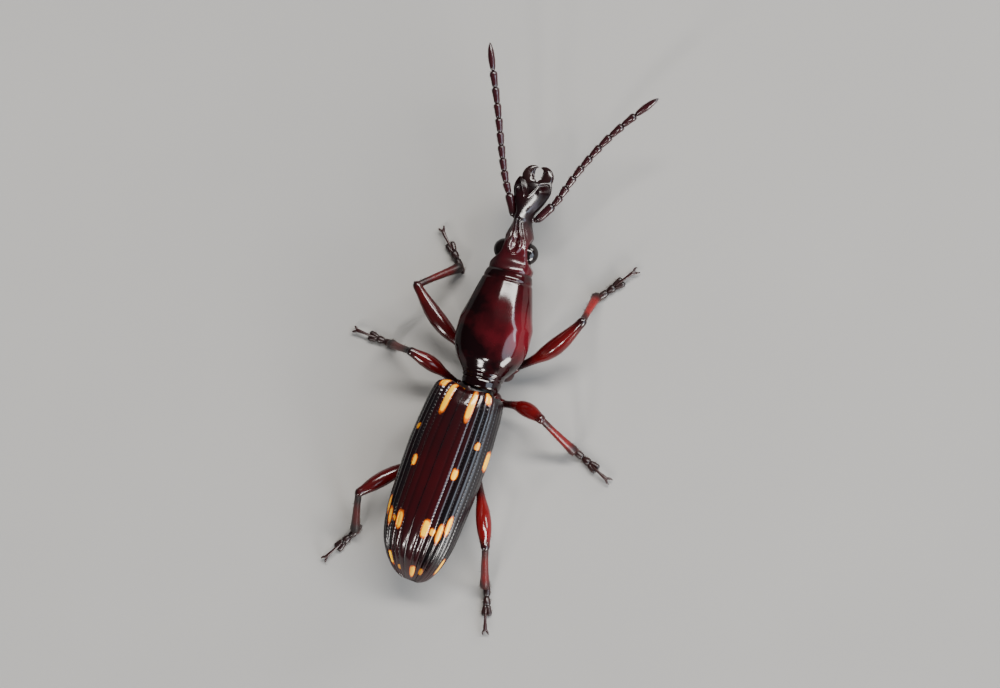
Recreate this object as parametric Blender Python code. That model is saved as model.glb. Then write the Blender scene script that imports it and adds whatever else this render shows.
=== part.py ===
"""Oak timberworm weevil: a male with long jaws, life size, standing still on its six feet.

The beetle faces +Y and its right side is +X. All sizes below are in millimetres, and MM turns
them into metres. Every named piece is one closed solid. Neighbours meet face to face with GAP
between them, and the middle of the whole beetle stands over the origin, with its feet at z = 0.
"""

import math

import bmesh
import bpy
from mathutils import Matrix, Vector

MM = 0.001
GAP = 0.3

# Wing cases: sizes are given at distances behind their base.
CASE_WIDTH = (
    (0.0, 4.2), (0.4, 4.66), (1.6, 5.02), (4.6, 5.36), (8.0, 5.2), (9.6, 4.94),
    (10.6, 4.56), (11.4, 4.02), (12.0, 3.42), (12.5, 2.7), (12.8, 2.02), (13.0, 1.2),
)
CASE_TOP = (
    (0.0, 4.8), (1.2, 5.18), (4.5, 5.4), (8.0, 5.3), (9.6, 4.98),
    (10.6, 4.6), (11.4, 4.1), (12.0, 3.52), (12.5, 2.88), (12.8, 2.42), (13.0, 2.1),
)
WIDEST_LEVEL = ((0.0, 3.4), (8.0, 3.4), (10.6, 3.05), (12.0, 2.5), (13.0, 1.9))
BELLY_LEVEL = ((0.0, 1.4), (9.6, 1.4), (11.4, 1.5), (13.0, 1.6))
CASE_STATIONS = (
    0.0, 0.12, 0.4, 1.2, 2.4, 3.8, 5.2, 6.6, 8.0, 9.0, 9.8, 10.5, 11.1, 11.6, 12.0, 12.2, 12.25,
    12.5, 12.7, 12.88, 13.0,
)
CASE_SHELL = 0.6
CASE_EDGE_ANGLE = math.radians(116)
CASE_ROUNDNESS = 2.3
CASE_SOLID_FROM = 12.22
CASE_BASE_BEVEL = 0.14
RIBS = 10
RIB_HEIGHT = 0.11
RIB_SHOULDERS = (0.0, 0.28, 0.72)
CASE_RIB_FADE = 3.2
CASE_INNER_POINTS = 8
CASE_TAIL_NARROWING = 0.96
CASE_TAIL_RISE = 0.02

# Trunk under the wing cases: the metathorax in front and the abdomen behind it.
METATHORAX_REAR = 5.0
SHOULDER_PLACE = 0.35
SHOULDER_SIZE = 0.9
NECK_INSET = 0.45
ABDOMEN_FRONT = METATHORAX_REAR + GAP
ABDOMEN_REAR = CASE_SOLID_FROM - GAP
DOME_ANGLES = (0, 20, 40, 60, 78, 90)
BELLY_ANGLES = (0, 22, 45, 68, 90)
BELLY_INSET = 0.4
BELLY_STEP = 0.07
BELLY_PLATES = (6.9, 8.3, 9.6, 10.8)
PLATE_EDGE = 0.06
SHELF_DROP = 0.05
METATHORAX_STATIONS = (METATHORAX_REAR, 4.4, 3.0, 1.6, 0.75)
NECK_LENGTH = 0.1
ABDOMEN_WAIST = 0.8
ABDOMEN_LAST_PLATE = 11.3
TAIL_SIZE = 0.8
TAIL_BEVEL = 0.12

# Prothorax: sizes are given as fractions of its length, from its base.
THORAX_BASE = (0.5, 0.38, 3.4)
THORAX_YAW = math.radians(5.6)
THORAX_LENGTH = 7.6
THORAX_WIDTH = (
    (0.0, 2.4), (0.1, 2.75), (0.15, 3.3), (0.205, 3.93), (0.31, 4.65), (0.42, 4.88),
    (0.53, 4.85), (0.64, 4.42), (0.745, 4.0), (0.855, 3.56), (1.0, 2.85),
)
THORAX_UP = ((0.0, 1.1), (0.12, 1.3), (0.25, 1.8), (0.45, 2.05), (0.7, 1.8), (1.0, 1.25))
THORAX_DOWN = ((0.0, 1.5), (0.1, 1.8), (0.25, 2.0), (0.6, 2.0), (0.85, 1.65), (1.0, 1.2))
THORAX_STATIONS = (
    0.0, 0.012, 0.03, 0.04, 0.06, 0.07, 0.1, 0.15, 0.2, 0.26, 0.33, 0.42, 0.51, 0.6, 0.68,
    0.76, 0.84, 0.9, 0.915, 0.93, 0.99, 1.0,
)
THORAX_GROOVES = {0.0: 0.1, 0.03: 0.07, 0.04: 0.07, 0.07: 0.06, 0.915: 0.1, 1.0: 0.1}
THORAX_ROUNDNESS = 2.1
BODY_SIDES = 12

# Head: sizes are given at distances in front of the prothorax.
NECK_DROP = 0.1
HEAD_YAW = math.radians(1.0)
HEAD_SLOPE = 0.09
HEAD_WIDTH = (
    (0.3, 2.45), (0.6, 2.62), (2.1, 2.02), (2.67, 1.64), (3.2, 1.18), (3.6, 1.02),
    (3.9, 1.08), (4.47, 1.7), (5.07, 2.2), (5.55, 2.44), (5.9, 2.3),
)
HEAD_UP = ((0.3, 1.1), (1.4, 1.08), (2.67, 0.74), (3.7, 0.52), (5.0, 0.42), (5.9, 0.32))
HEAD_DOWN = ((0.3, 1.05), (1.4, 1.05), (2.67, 0.72), (3.7, 0.52), (5.9, 0.4))
HEAD_STATIONS = (
    0.3, 0.36, 0.6, 0.62, 1.0, 1.4, 1.8, 2.12, 2.14, 2.5, 2.9, 3.2, 3.6, 3.9, 4.2, 4.5,
    4.9, 5.3, 5.6, 5.82, 5.9,
)
HEAD_ROUNDNESS = 2.3
CROWN_GROOVE = ((0.3, 0.0), (3.2, 0.0), (4.0, 0.12), (5.3, 0.16), (5.9, 0.1))

# Eyes: each is a dome on a flat seat cut into the side of the head.
EYE_FRONT_TO_BACK = 1.42
EYE_HEIGHT = 1.3
EYE_REACH = 1.43
EYE_SEAT = 0.74
EYE_PLACE = 1.37
EYE_LEVEL = -0.12
EYE_SEAT_MARGIN = 0.05
EYE_SIDES = 16
EYE_RING_ANGLES = (0, 22, 42, 60, 76)

# Jaws: each is a sickle, bent along an arc.
JAW_ARC_RADIUS = 0.6
JAW_ARC_SIDE = {"l": 0.26, "r": 0.17}
JAW_ARC_PLACE = 6.42
JAW_START = math.radians(-24)
JAW_THICKNESS = ((0.0, 0.3), (0.35, 0.27), (0.7, 0.18), (1.0, 0.05))
JAW_END = {"l": math.radians(102), "r": math.radians(80)}
JAW_STEPS = 8
JAW_SIDES = 8
JAW_RISE = 0.04
TOOTH_ANGLE = math.radians(28)
TOOTH_BACKWARDS = 0.2
TOOTH_SHAPE = ((0.0, 0.16), (0.25, 0.12), (0.55, 0.03))
TOOTH_SIDES = 6

# Antennae: eleven joints, each a bead, with the direction that the whole feeler takes.
FEELER_JOINTS = (1.4, 0.75, 0.75, 0.8, 0.85, 0.85, 0.9, 0.95, 1.05, 1.05, 1.85)
FEELER_PARTS = {"scape": (0, 1), "funicle": (1, 8), "club": (8, 11)}
FEELER_BEAD = ((0.0, 0.2), (0.3, 0.24), (0.75, 0.27), (0.97, 0.2))
FEELER_STEP = 0.1
FEELER_JOINT_GAP = 0.05
FEELER_SIDES = 8
FEELER_ROOT_DROP = 0.05
FEELER_ROOT_SIDE = 0.84
FEELER_ROOT_PLACE = 3.55
FEELER_RISE = math.radians(9)
FEELER_HEADING = {
    "l": ((0.0, 24), (1.6, 26), (2.4, 22), (3.2, 19.5), (5.0, 17), (9.0, 19.5), (11.0, 17)),
    "r": ((0.0, 38), (1.5, 36), (2.0, 24), (3.2, 26), (4.5, 30), (6.0, 33), (7.5, 39), (11.0, 46)),
}

# Legs: joint lengths, hip places and poses. Headings count outwards from straight ahead.
HIP_BALL = 0.56
HIP_CUT = 0.25
HIP_INNER_SIDE = 0.6
HIP_LOWEST_RING = math.radians(-78)
HIP_STEPS = 5
HIP_SIDES = 12
TROCHANTER = 0.85
ANKLE_LEVEL = 0.78
FOOT_BACK = 0.3
LEGS = {
    "front": {"side": 0.85, "place": 1.25, "femur": 6.9, "tibia": 3.38, "tarsus": 3.4, "girth": 1.0},
    "middle": {"side": 1.0, "place": -0.2, "femur": 4.65, "tibia": 3.35, "tarsus": 3.3, "girth": 0.92},
    "hind": {"side": 1.1, "place": -4.2, "femur": 6.39, "tibia": 3.45, "tarsus": 3.4, "girth": 0.88},
}
POSES = {
    ("front", "r"): {"thigh": 41.6, "lift": 21.9, "shin": -13.7, "foot": 35.6, "bow": 0.35},
    ("front", "l"): {"thigh": 57.2, "lift": 16.6, "shin": -37.7, "foot": 47, "bow": 0.35},
    ("middle", "r"): {"thigh": 91, "lift": 29.2, "shin": 121, "foot": 110.5, "bow": -0.25},
    ("middle", "l"): {"thigh": 73.4, "lift": 30.6, "shin": 91.4, "foot": 88.2, "bow": -0.1},
    ("hind", "r"): {"thigh": 146.1, "lift": 20.8, "shin": 176.2, "foot": 161.2, "bow": -0.1},
    ("hind", "l"): {"thigh": 141.1, "lift": 20.8, "shin": 175.8, "foot": 150.7, "bow": -0.1},
}
FEMUR_SHAPE = (
    (0.0, 0.25), (0.22, 0.28), (0.42, 0.42), (0.6, 0.5), (0.73, 0.47), (0.85, 0.38), (1.0, 0.31),
)
TIBIA_SHAPE = ((0.0, 0.27), (0.22, 0.25), (0.55, 0.26), (0.82, 0.29), (1.0, 0.3))
TIBIA_BOW = 0.08
LIMB_SIDES = 10

# Tarsus: rings from heel to tip, as (fraction of length, half width, top, bottom).
TARSUS_RINGS = (
    (0.0, 0.2, 0.42, 0.05), (0.05, 0.25, 0.48, 0.0), (0.2, 0.27, 0.5, 0.0), (0.26, 0.22, 0.42, 0.05),
    (0.29, 0.25, 0.46, 0.0), (0.42, 0.28, 0.5, 0.0), (0.47, 0.22, 0.42, 0.05),
    (0.5, 0.28, 0.46, 0.0), (0.62, 0.36, 0.5, 0.0), (0.66, 0.3, 0.46, 0.03),
    (0.68, 0.16, 0.46, 0.12), (0.78, 0.17, 0.48, 0.1), (0.88, 0.2, 0.5, 0.08), (0.91, 0.16, 0.46, 0.12),
)
TARSUS_SIDES = 10
CLAW_SPREAD = math.radians(24)
CLAW_ROOT = 0.88
CLAW_SIDE = 0.09
CLAW_LENGTH = 0.52
CLAW_SIZE = 0.13
CLAW_SHAPE = ((0.0, 1.0), (0.35, 0.95), (0.7, 0.6), (1.0, 0.2))
CLAW_TOP = 0.3
CLAW_DROP = 0.24
CLAW_DIP = 0.6
CLAW_SIDES = 6

SHARP_ANGLE = math.radians(40)

# Colour and roughness of each finish.
FINISHES = {
    "thorax_red": ((0.16, 0.012, 0.008), 0.16),
    "head_red": ((0.13, 0.01, 0.008), 0.2),
    "beak_black": ((0.02, 0.008, 0.008), 0.25),
    "eye_black": ((0.01, 0.008, 0.008), 0.08),
    "feeler_brown": ((0.06, 0.012, 0.01), 0.4),
    "case_brown": ((0.045, 0.008, 0.007), 0.25),
    "belly_brown": ((0.06, 0.012, 0.009), 0.35),
    "leg_red": ((0.2, 0.018, 0.01), 0.25),
    "foot_dark": ((0.04, 0.012, 0.01), 0.45),
}


def clear_scene():
    for old in list(bpy.data.objects):
        bpy.data.objects.remove(old)


def make_finish(name):
    colour, roughness = FINISHES[name]
    finish = bpy.data.materials.new(name)
    finish.use_nodes = True
    shader = finish.node_tree.nodes["Principled BSDF"]
    shader.inputs["Base Color"].default_value = (*colour, 1.0)
    shader.inputs["Roughness"].default_value = roughness
    shader.inputs["Metallic"].default_value = 0.0
    return finish


def smooth_value(table, place):
    """Value at a place, on a smooth curve through a table of (place, value) pairs."""
    if place <= table[0][0]:
        return table[0][1]
    if place >= table[-1][0]:
        return table[-1][1]
    slopes = []
    for (x0, y0), (x1, y1) in zip(table, table[1:]):
        slopes.append((y1 - y0) / (x1 - x0))
    tangents = [slopes[0]]
    for before, after in zip(slopes, slopes[1:]):
        rising = before * after > 0
        tangents.append(2 * before * after / (before + after) if rising else 0.0)
    tangents.append(slopes[-1])
    index = 0
    while table[index + 1][0] < place:
        index += 1
    (x0, y0), (x1, y1) = table[index], table[index + 1]
    span = x1 - x0
    t = (place - x0) / span
    start = (2 * t**3 - 3 * t**2 + 1) * y0 + (t**3 - 2 * t**2 + t) * span * tangents[index]
    end = (-2 * t**3 + 3 * t**2) * y1 + (t**3 - t**2) * span * tangents[index + 1]
    return start + end


def rounded_point(angle, half_width, up, down, roundness):
    """Point on a rounded section, with its angle counted from the top down the side."""
    power = 2 / roundness
    across = half_width * max(math.sin(angle), 0.0) ** power
    cosine = math.cos(angle)
    if cosine >= 0:
        return across, up * cosine**power
    return across, -down * (-cosine) ** power


def mirrored_ring(half_section, place):
    """Whole ring across the body from its right half, which runs from top to bottom."""
    ring = [Vector((x, place, z)) for x, z in half_section]
    for x, z in reversed(half_section[1:-1]):
        ring.append(Vector((-x, place, z)))
    return ring


def loft(name, rings, finish, parent):
    """Closed solid through rings that all have the same number of points."""
    mesh = bpy.data.meshes.new(name)
    shape = bmesh.new()
    loops = []
    for ring in rings:
        loops.append([shape.verts.new(point * MM) for point in ring])
    count = len(rings[0])
    for near, far in zip(loops, loops[1:]):
        for i in range(count):
            j = (i + 1) % count
            shape.faces.new((near[i], near[j], far[j], far[i]))
    shape.faces.new(loops[0])
    shape.faces.new(loops[-1])
    bmesh.ops.triangulate(shape, faces=[f for f in shape.faces if len(f.verts) > 4])
    bmesh.ops.recalc_face_normals(shape, faces=shape.faces)
    shape.to_mesh(mesh)
    shape.free()
    mesh.shade_smooth()
    mesh.set_sharp_from_angle(angle=SHARP_ANGLE)
    mesh.materials.append(finish)
    piece = bpy.data.objects.new(name, mesh)
    bpy.context.scene.collection.objects.link(piece)
    piece.parent = parent
    return piece


def join_solids(piece, extras):
    """Fuses the extra solids into the piece and keeps the one closed body that results."""
    group = bpy.data.collections.new(piece.name + "_extras")
    for extra in extras:
        bpy.context.scene.collection.objects.unlink(extra)
        group.objects.link(extra)
    fuse = piece.modifiers.new("fuse", "BOOLEAN")
    fuse.operation = "UNION"
    fuse.solver = "EXACT"
    fuse.operand_type = "COLLECTION"
    fuse.collection = group
    bpy.context.view_layer.update()
    fused = bpy.data.meshes.new_from_object(
        piece.evaluated_get(bpy.context.evaluated_depsgraph_get())
    )
    piece.modifiers.clear()
    piece.data = fused
    for extra in extras:
        bpy.data.objects.remove(extra)
    bpy.data.collections.remove(group)
    keep_largest_shell(fused)


def keep_largest_shell(mesh):
    shape = bmesh.new()
    shape.from_mesh(mesh)
    shells = []
    unseen = set(shape.faces)
    while unseen:
        stack = [unseen.pop()]
        shell = list(stack)
        while stack:
            for edge in stack.pop().edges:
                for face in edge.link_faces:
                    if face in unseen:
                        unseen.remove(face)
                        stack.append(face)
                        shell.append(face)
        shells.append(shell)
    shells.sort(key=lambda shell: sum(face.calc_area() for face in shell), reverse=True)
    for shell in shells[1:]:
        bmesh.ops.delete(shape, geom=shell, context="FACES")
    shape.to_mesh(mesh)
    shape.free()


def case_section_point(back, angle, inset):
    """Point of the wing cases' section at a distance behind their base, inset from it."""
    level = smooth_value(WIDEST_LEVEL, back)
    half_width = smooth_value(CASE_WIDTH, back) / 2 - inset
    up = smooth_value(CASE_TOP, back) - level - inset
    down = level - smooth_value(BELLY_LEVEL, back) - inset
    x, z = rounded_point(angle, half_width, up, down, CASE_ROUNDNESS)
    return x, z + level


def beside_suture(x, back):
    """Squeezes a distance from the middle line, so that each wing case starts beside the gap."""
    half_width = smooth_value(CASE_WIDTH, back) / 2
    return GAP / 2 + x * (half_width - GAP / 2) / half_width


def rib_depth(fraction, back):
    """How far the surface lies below the crest of its rib, deepest in the grooves."""
    height = RIB_HEIGHT * min(1.0, smooth_value(CASE_WIDTH, back) / CASE_RIB_FADE)
    return height * (1 - abs(math.sin(math.pi * RIBS * fraction)) ** 0.5)


def make_wing_case(side, sign, finish, parent):
    outer_fractions = []
    for rib in range(RIBS):
        outer_fractions += [(rib + shoulder) / RIBS for shoulder in RIB_SHOULDERS]
    outer_fractions.append(1.0)
    rings = []
    for back in CASE_STATIONS:
        bevel = CASE_BASE_BEVEL if back == 0.0 else 0.0
        ring = []
        for fraction in outer_fractions:
            inset = rib_depth(fraction, back) + bevel
            x, z = case_section_point(back, fraction * CASE_EDGE_ANGLE, inset)
            ring.append((beside_suture(x, back), z))
        edge_x, edge_z = ring[-1]
        for i in range(CASE_INNER_POINTS):
            part = 1 - i / (CASE_INNER_POINTS - 1)
            if back < CASE_SOLID_FROM:
                angle = part * CASE_EDGE_ANGLE
                x, z = case_section_point(back, angle, CASE_SHELL)
                ring.append((beside_suture(x, back), z))
            else:
                reach = CASE_TAIL_NARROWING * part
                x = GAP / 2 + (edge_x - GAP / 2) * reach
                ring.append((x, edge_z - CASE_TAIL_RISE))
        rings.append([Vector((sign * x, -back, z)) for x, z in ring])
    return loft("elytron_" + side, rings, finish, parent)


def trunk_half_section(back):
    """Right half of the trunk: a dome inside the wing cases and the belly below them."""
    half = []
    for degrees in DOME_ANGLES:
        half.append(case_section_point(back, math.radians(degrees), CASE_SHELL + GAP))
    edge_x, edge_z = case_section_point(back, CASE_EDGE_ANGLE, 0.0)
    half.append((half[-1][0], edge_z - SHELF_DROP))
    shelf = edge_z - GAP - SHELF_DROP
    step = BELLY_STEP if back in BELLY_PLATES else 0.0
    floor = smooth_value(BELLY_LEVEL, back) + step
    for degrees in BELLY_ANGLES:
        angle = math.radians(degrees)
        x = (edge_x - BELLY_INSET - step) * math.cos(angle)
        half.append((x, shelf - (shelf - floor) * math.sin(angle)))
    return half


def thorax_section(fraction, angle, inset):
    half_width = smooth_value(THORAX_WIDTH, fraction) / 2 - inset
    up = smooth_value(THORAX_UP, fraction) - inset
    down = smooth_value(THORAX_DOWN, fraction) - inset
    return rounded_point(angle, half_width, up, down, THORAX_ROUNDNESS)


def make_metathorax(finish, parent, thorax_frame):
    rings = []
    half_count = len(DOME_ANGLES) + 1 + len(BELLY_ANGLES)
    for back in METATHORAX_STATIONS:
        rings.append(mirrored_ring(trunk_half_section(back), -back))
    shoulder = []
    for x, z in trunk_half_section(SHOULDER_PLACE):
        shoulder.append((x * SHOULDER_SIZE, z + (1 - SHOULDER_SIZE) * (THORAX_BASE[2] - z)))
    rings.append(mirrored_ring(shoulder, -SHOULDER_PLACE))
    neck = []
    for i in range(half_count):
        neck.append(thorax_section(0.0, math.pi * i / (half_count - 1), NECK_INSET))
    for reach in (-GAP - NECK_LENGTH, -GAP):
        ring = mirrored_ring(neck, reach)
        rings.append([thorax_frame @ point for point in ring])
    return loft("metathorax", rings, finish, parent)


def make_abdomen(finish, parent):
    places = [ABDOMEN_FRONT, ABDOMEN_FRONT + ABDOMEN_WAIST]
    for border in BELLY_PLATES:
        places += [border - PLATE_EDGE, border, border + PLATE_EDGE]
    places += [ABDOMEN_LAST_PLATE, ABDOMEN_REAR - TAIL_BEVEL]
    rings = [mirrored_ring(trunk_half_section(back), -back) for back in places]
    tail = []
    level = smooth_value(WIDEST_LEVEL, ABDOMEN_REAR)
    for x, z in trunk_half_section(ABDOMEN_REAR):
        tail.append((x * TAIL_SIZE, level + (z - level) * TAIL_SIZE))
    rings.append(mirrored_ring(tail, -ABDOMEN_REAR))
    return loft("abdomen", rings, finish, parent)


def make_prothorax(finish, parent):
    rings = []
    for fraction in THORAX_STATIONS:
        inset = THORAX_GROOVES.get(fraction, 0.0)
        half = []
        for i in range(BODY_SIDES + 1):
            half.append(thorax_section(fraction, math.pi * i / BODY_SIDES, inset))
        rings.append(mirrored_ring(half, fraction * THORAX_LENGTH))
    return loft("pronotum", rings, finish, parent)


def head_section(place, angle):
    half_width = smooth_value(HEAD_WIDTH, place) / 2
    up = smooth_value(HEAD_UP, place)
    down = smooth_value(HEAD_DOWN, place)
    x, z = rounded_point(angle, half_width, up, down, HEAD_ROUNDNESS)
    return x, z - HEAD_SLOPE * place


def make_head(finish, parent):
    seat_reach = EYE_FRONT_TO_BACK / 2 + EYE_SEAT_MARGIN
    rings = []
    for place in HEAD_STATIONS:
        half = []
        for i in range(BODY_SIDES + 1):
            x, z = head_section(place, math.pi * i / BODY_SIDES)
            if abs(place - EYE_PLACE) < seat_reach:
                x = min(x, EYE_SEAT)
            if i == 0:
                z -= smooth_value(CROWN_GROOVE, place)
            half.append((x, z))
        rings.append(mirrored_ring(half, place))
    return loft("head", rings, finish, parent)


def make_eye(side, sign, finish, parent):
    """Dome of rings that shrink from the seat out to the middle of the eye."""
    back = EYE_SEAT + GAP
    bulge = EYE_REACH - back
    rings = []
    for degrees in EYE_RING_ANGLES:
        angle = math.radians(degrees)
        ring = []
        for i in range(EYE_SIDES):
            turn = 2 * math.pi * i / EYE_SIDES
            y = EYE_PLACE + EYE_FRONT_TO_BACK / 2 * math.cos(angle) * math.cos(turn)
            z = EYE_LEVEL + EYE_HEIGHT / 2 * math.cos(angle) * math.sin(turn)
            ring.append(Vector((sign * (back + bulge * math.sin(angle)), y, z)))
        rings.append(ring)
    return loft("eye_" + side, rings, finish, parent)


def tube_ring(centre, direction, radius, sides, flat=1.0):
    """Ring of points square to a direction, and flattened upwards by the last value."""
    across = direction.cross(Vector((0, 0, 1))).normalized()
    upward = across.cross(direction).normalized()
    ring = []
    for i in range(sides):
        turn = 2 * math.pi * (i + 0.5) / sides
        out = across * math.cos(turn) + upward * (math.sin(turn) * flat)
        ring.append(centre + out * radius)
    return ring


def make_jaw(side, sign, finish, parent):
    end = JAW_END[side]
    arc_side = JAW_ARC_SIDE[side]
    level = -HEAD_SLOPE * JAW_ARC_PLACE
    rings = []
    for i in range(JAW_STEPS + 1):
        part = i / JAW_STEPS
        angle = JAW_START + (end - JAW_START) * part
        centre = Vector((
            sign * (arc_side + JAW_ARC_RADIUS * math.cos(angle)),
            JAW_ARC_PLACE + JAW_ARC_RADIUS * math.sin(angle),
            level + JAW_RISE * part,
        ))
        direction = Vector((-sign * math.sin(angle), math.cos(angle), 0))
        if i == 0:
            direction = Vector((0, 1, 0))
        rings.append(tube_ring(centre, direction, smooth_value(JAW_THICKNESS, part), JAW_SIDES))
    jaw = loft("mandible_" + side, rings, finish, parent)
    root = Vector((
        sign * (arc_side + JAW_ARC_RADIUS * math.cos(TOOTH_ANGLE)),
        JAW_ARC_PLACE + JAW_ARC_RADIUS * math.sin(TOOTH_ANGLE),
        level,
    ))
    inward = Vector((-sign * math.cos(TOOTH_ANGLE), -TOOTH_BACKWARDS, 0)).normalized()
    tooth_rings = []
    for reach, radius in TOOTH_SHAPE:
        tooth_rings.append(tube_ring(root + inward * reach, inward, radius, TOOTH_SIDES))
    tooth = loft("tooth", tooth_rings, finish, parent)
    join_solids(jaw, [tooth])
    return jaw


def feeler_path(side, sign):
    """Points and directions at every FEELER_STEP along one feeler."""
    count = int(sum(FEELER_JOINTS) / FEELER_STEP) + 1
    place = Vector((
        sign * FEELER_ROOT_SIDE,
        FEELER_ROOT_PLACE,
        -HEAD_SLOPE * FEELER_ROOT_PLACE - FEELER_ROOT_DROP,
    ))
    path = []
    for i in range(count + 1):
        heading = math.radians(smooth_value(FEELER_HEADING[side], i * FEELER_STEP))
        direction = Vector((sign * math.sin(heading), math.cos(heading), math.tan(FEELER_RISE)))
        direction.normalize()
        path.append((place.copy(), direction))
        place += direction * FEELER_STEP
    return path


def feeler_ring(path, distance, radius):
    index = min(int(distance / FEELER_STEP), len(path) - 1)
    place, direction = path[index]
    centre = place + direction * (distance - index * FEELER_STEP)
    return tube_ring(centre, direction, radius, FEELER_SIDES)


def make_feeler(side, sign, finish, parent):
    path = feeler_path(side, sign)
    for part, (first, last) in FEELER_PARTS.items():
        rings = []
        for joint in range(first, last):
            start = sum(FEELER_JOINTS[:joint])
            opening = GAP if joint == first and first > 0 else FEELER_JOINT_GAP
            length = FEELER_JOINTS[joint] - opening
            for part_of_bead, radius in FEELER_BEAD:
                distance = start + opening + part_of_bead * length
                rings.append(feeler_ring(path, distance, radius))
        loft("antenna_" + side + "_" + part, rings, finish, parent)


def heading_vector(degrees, sign, lift=0.0):
    """Direction from an outward heading and a lift above the floor, both in degrees."""
    heading = math.radians(degrees)
    rise = math.radians(lift)
    flat = math.cos(rise)
    return Vector((sign * math.sin(heading) * flat, math.cos(heading) * flat, math.sin(rise)))


def slide_onto_plane(ring, direction, point, normal):
    """Moves each point of a ring along a direction until it lies on a plane."""
    return [p + direction * ((point - p).dot(normal) / direction.dot(normal)) for p in ring]


def make_limb(name, start, end, bow, shape, trims, finish, parent):
    """Round bowed limb from one joint to the next, with an end mitred where a trim is given."""
    line = end - start
    rings = []
    for fraction, radius in shape:
        centre = start + line * fraction + bow * math.sin(math.pi * fraction)
        direction = (line + bow * (math.pi * math.cos(math.pi * fraction))).normalized()
        rings.append(tube_ring(centre, direction, radius, LIMB_SIDES))
    if trims[0]:
        rings[0] = slide_onto_plane(rings[0], line.normalized(), *trims[0])
    if trims[1]:
        rings[-1] = slide_onto_plane(rings[-1], line.normalized(), *trims[1])
    return loft(name, rings, finish, parent)


def belly_height(pair, hip, thorax_frame):
    """Height of the body's underside straight above the inner side of a hip."""
    inner = LEGS[pair]["side"] - HIP_BALL * HIP_INNER_SIDE
    if pair == "front":
        fraction = LEGS[pair]["place"] / THORAX_LENGTH
        half_width = smooth_value(THORAX_WIDTH, fraction) / 2
        down = smooth_value(THORAX_DOWN, fraction)
        drop = down * (1 - (inner / half_width) ** THORAX_ROUNDNESS) ** (1 / THORAX_ROUNDNESS)
        return thorax_frame.translation.z - drop
    back = -hip.y
    edge_x, edge_z = case_section_point(back, CASE_EDGE_ANGLE, 0.0)
    shelf = edge_z - GAP - SHELF_DROP
    floor = smooth_value(BELLY_LEVEL, back)
    drop = (shelf - floor) * math.sqrt(1 - (inner / (edge_x - BELLY_INSET)) ** 2)
    return shelf - drop


def make_hip(name, hip, finish, parent):
    """Ball with its top cut flat, facing the body's underside."""
    rings = []
    top = math.asin(HIP_CUT / HIP_BALL)
    for i in range(HIP_STEPS + 1):
        rise = top + (HIP_LOWEST_RING - top) * i / HIP_STEPS
        centre = hip + Vector((0, 0, HIP_BALL * math.sin(rise)))
        radius = HIP_BALL * math.cos(rise)
        ring = []
        for k in range(HIP_SIDES):
            turn = 2 * math.pi * k / HIP_SIDES
            ring.append(centre + Vector((math.cos(turn), math.sin(turn), 0)) * radius)
        rings.append(ring)
    return loft(name, rings, finish, parent)


def make_tarsus(name, ankle, heading, sign, length, finish, parent):
    """Foot: three flat pads and the claw joint in one line, with two claws at its end."""
    forward = heading_vector(heading, sign)
    across = Vector((forward.y, -forward.x, 0))
    heel = Vector((ankle.x, ankle.y, 0)) - forward * FOOT_BACK

    def place(along, side, height):
        return heel + forward * along + across * side + Vector((0, 0, height))

    rings = []
    for fraction, half_width, top, bottom in TARSUS_RINGS:
        middle = (top + bottom) / 2
        half_height = (top - bottom) / 2
        low = half_height * math.sin(math.radians(90 - 180 / TARSUS_SIDES))
        ring = []
        for i in range(TARSUS_SIDES):
            turn = 2 * math.pi * (i + 0.5) / TARSUS_SIDES + math.pi / 2
            height = middle + half_height * math.sin(turn) * half_height / low
            ring.append(place(fraction * length, half_width * math.cos(turn), height))
        rings.append(ring)
    foot = loft(name, rings, finish, parent)
    claws = []
    for turn in (-1, 1):
        claw_rings = []
        for part, size in CLAW_SHAPE:
            angle = turn * CLAW_SPREAD * (0.5 + part)
            along = CLAW_ROOT * length + part * CLAW_LENGTH * math.cos(angle)
            aside = turn * CLAW_SIDE + part * CLAW_LENGTH * math.sin(angle)
            height = CLAW_TOP - CLAW_DROP * part**2
            direction = forward * math.cos(angle) + across * math.sin(angle)
            direction.z = -CLAW_DIP * part
            centre = place(along, aside, height)
            claw_rings.append(tube_ring(centre, direction.normalized(), CLAW_SIZE * size, CLAW_SIDES))
        claws.append(loft("claw", claw_rings, finish, parent))
    join_solids(foot, claws)
    return foot


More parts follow.
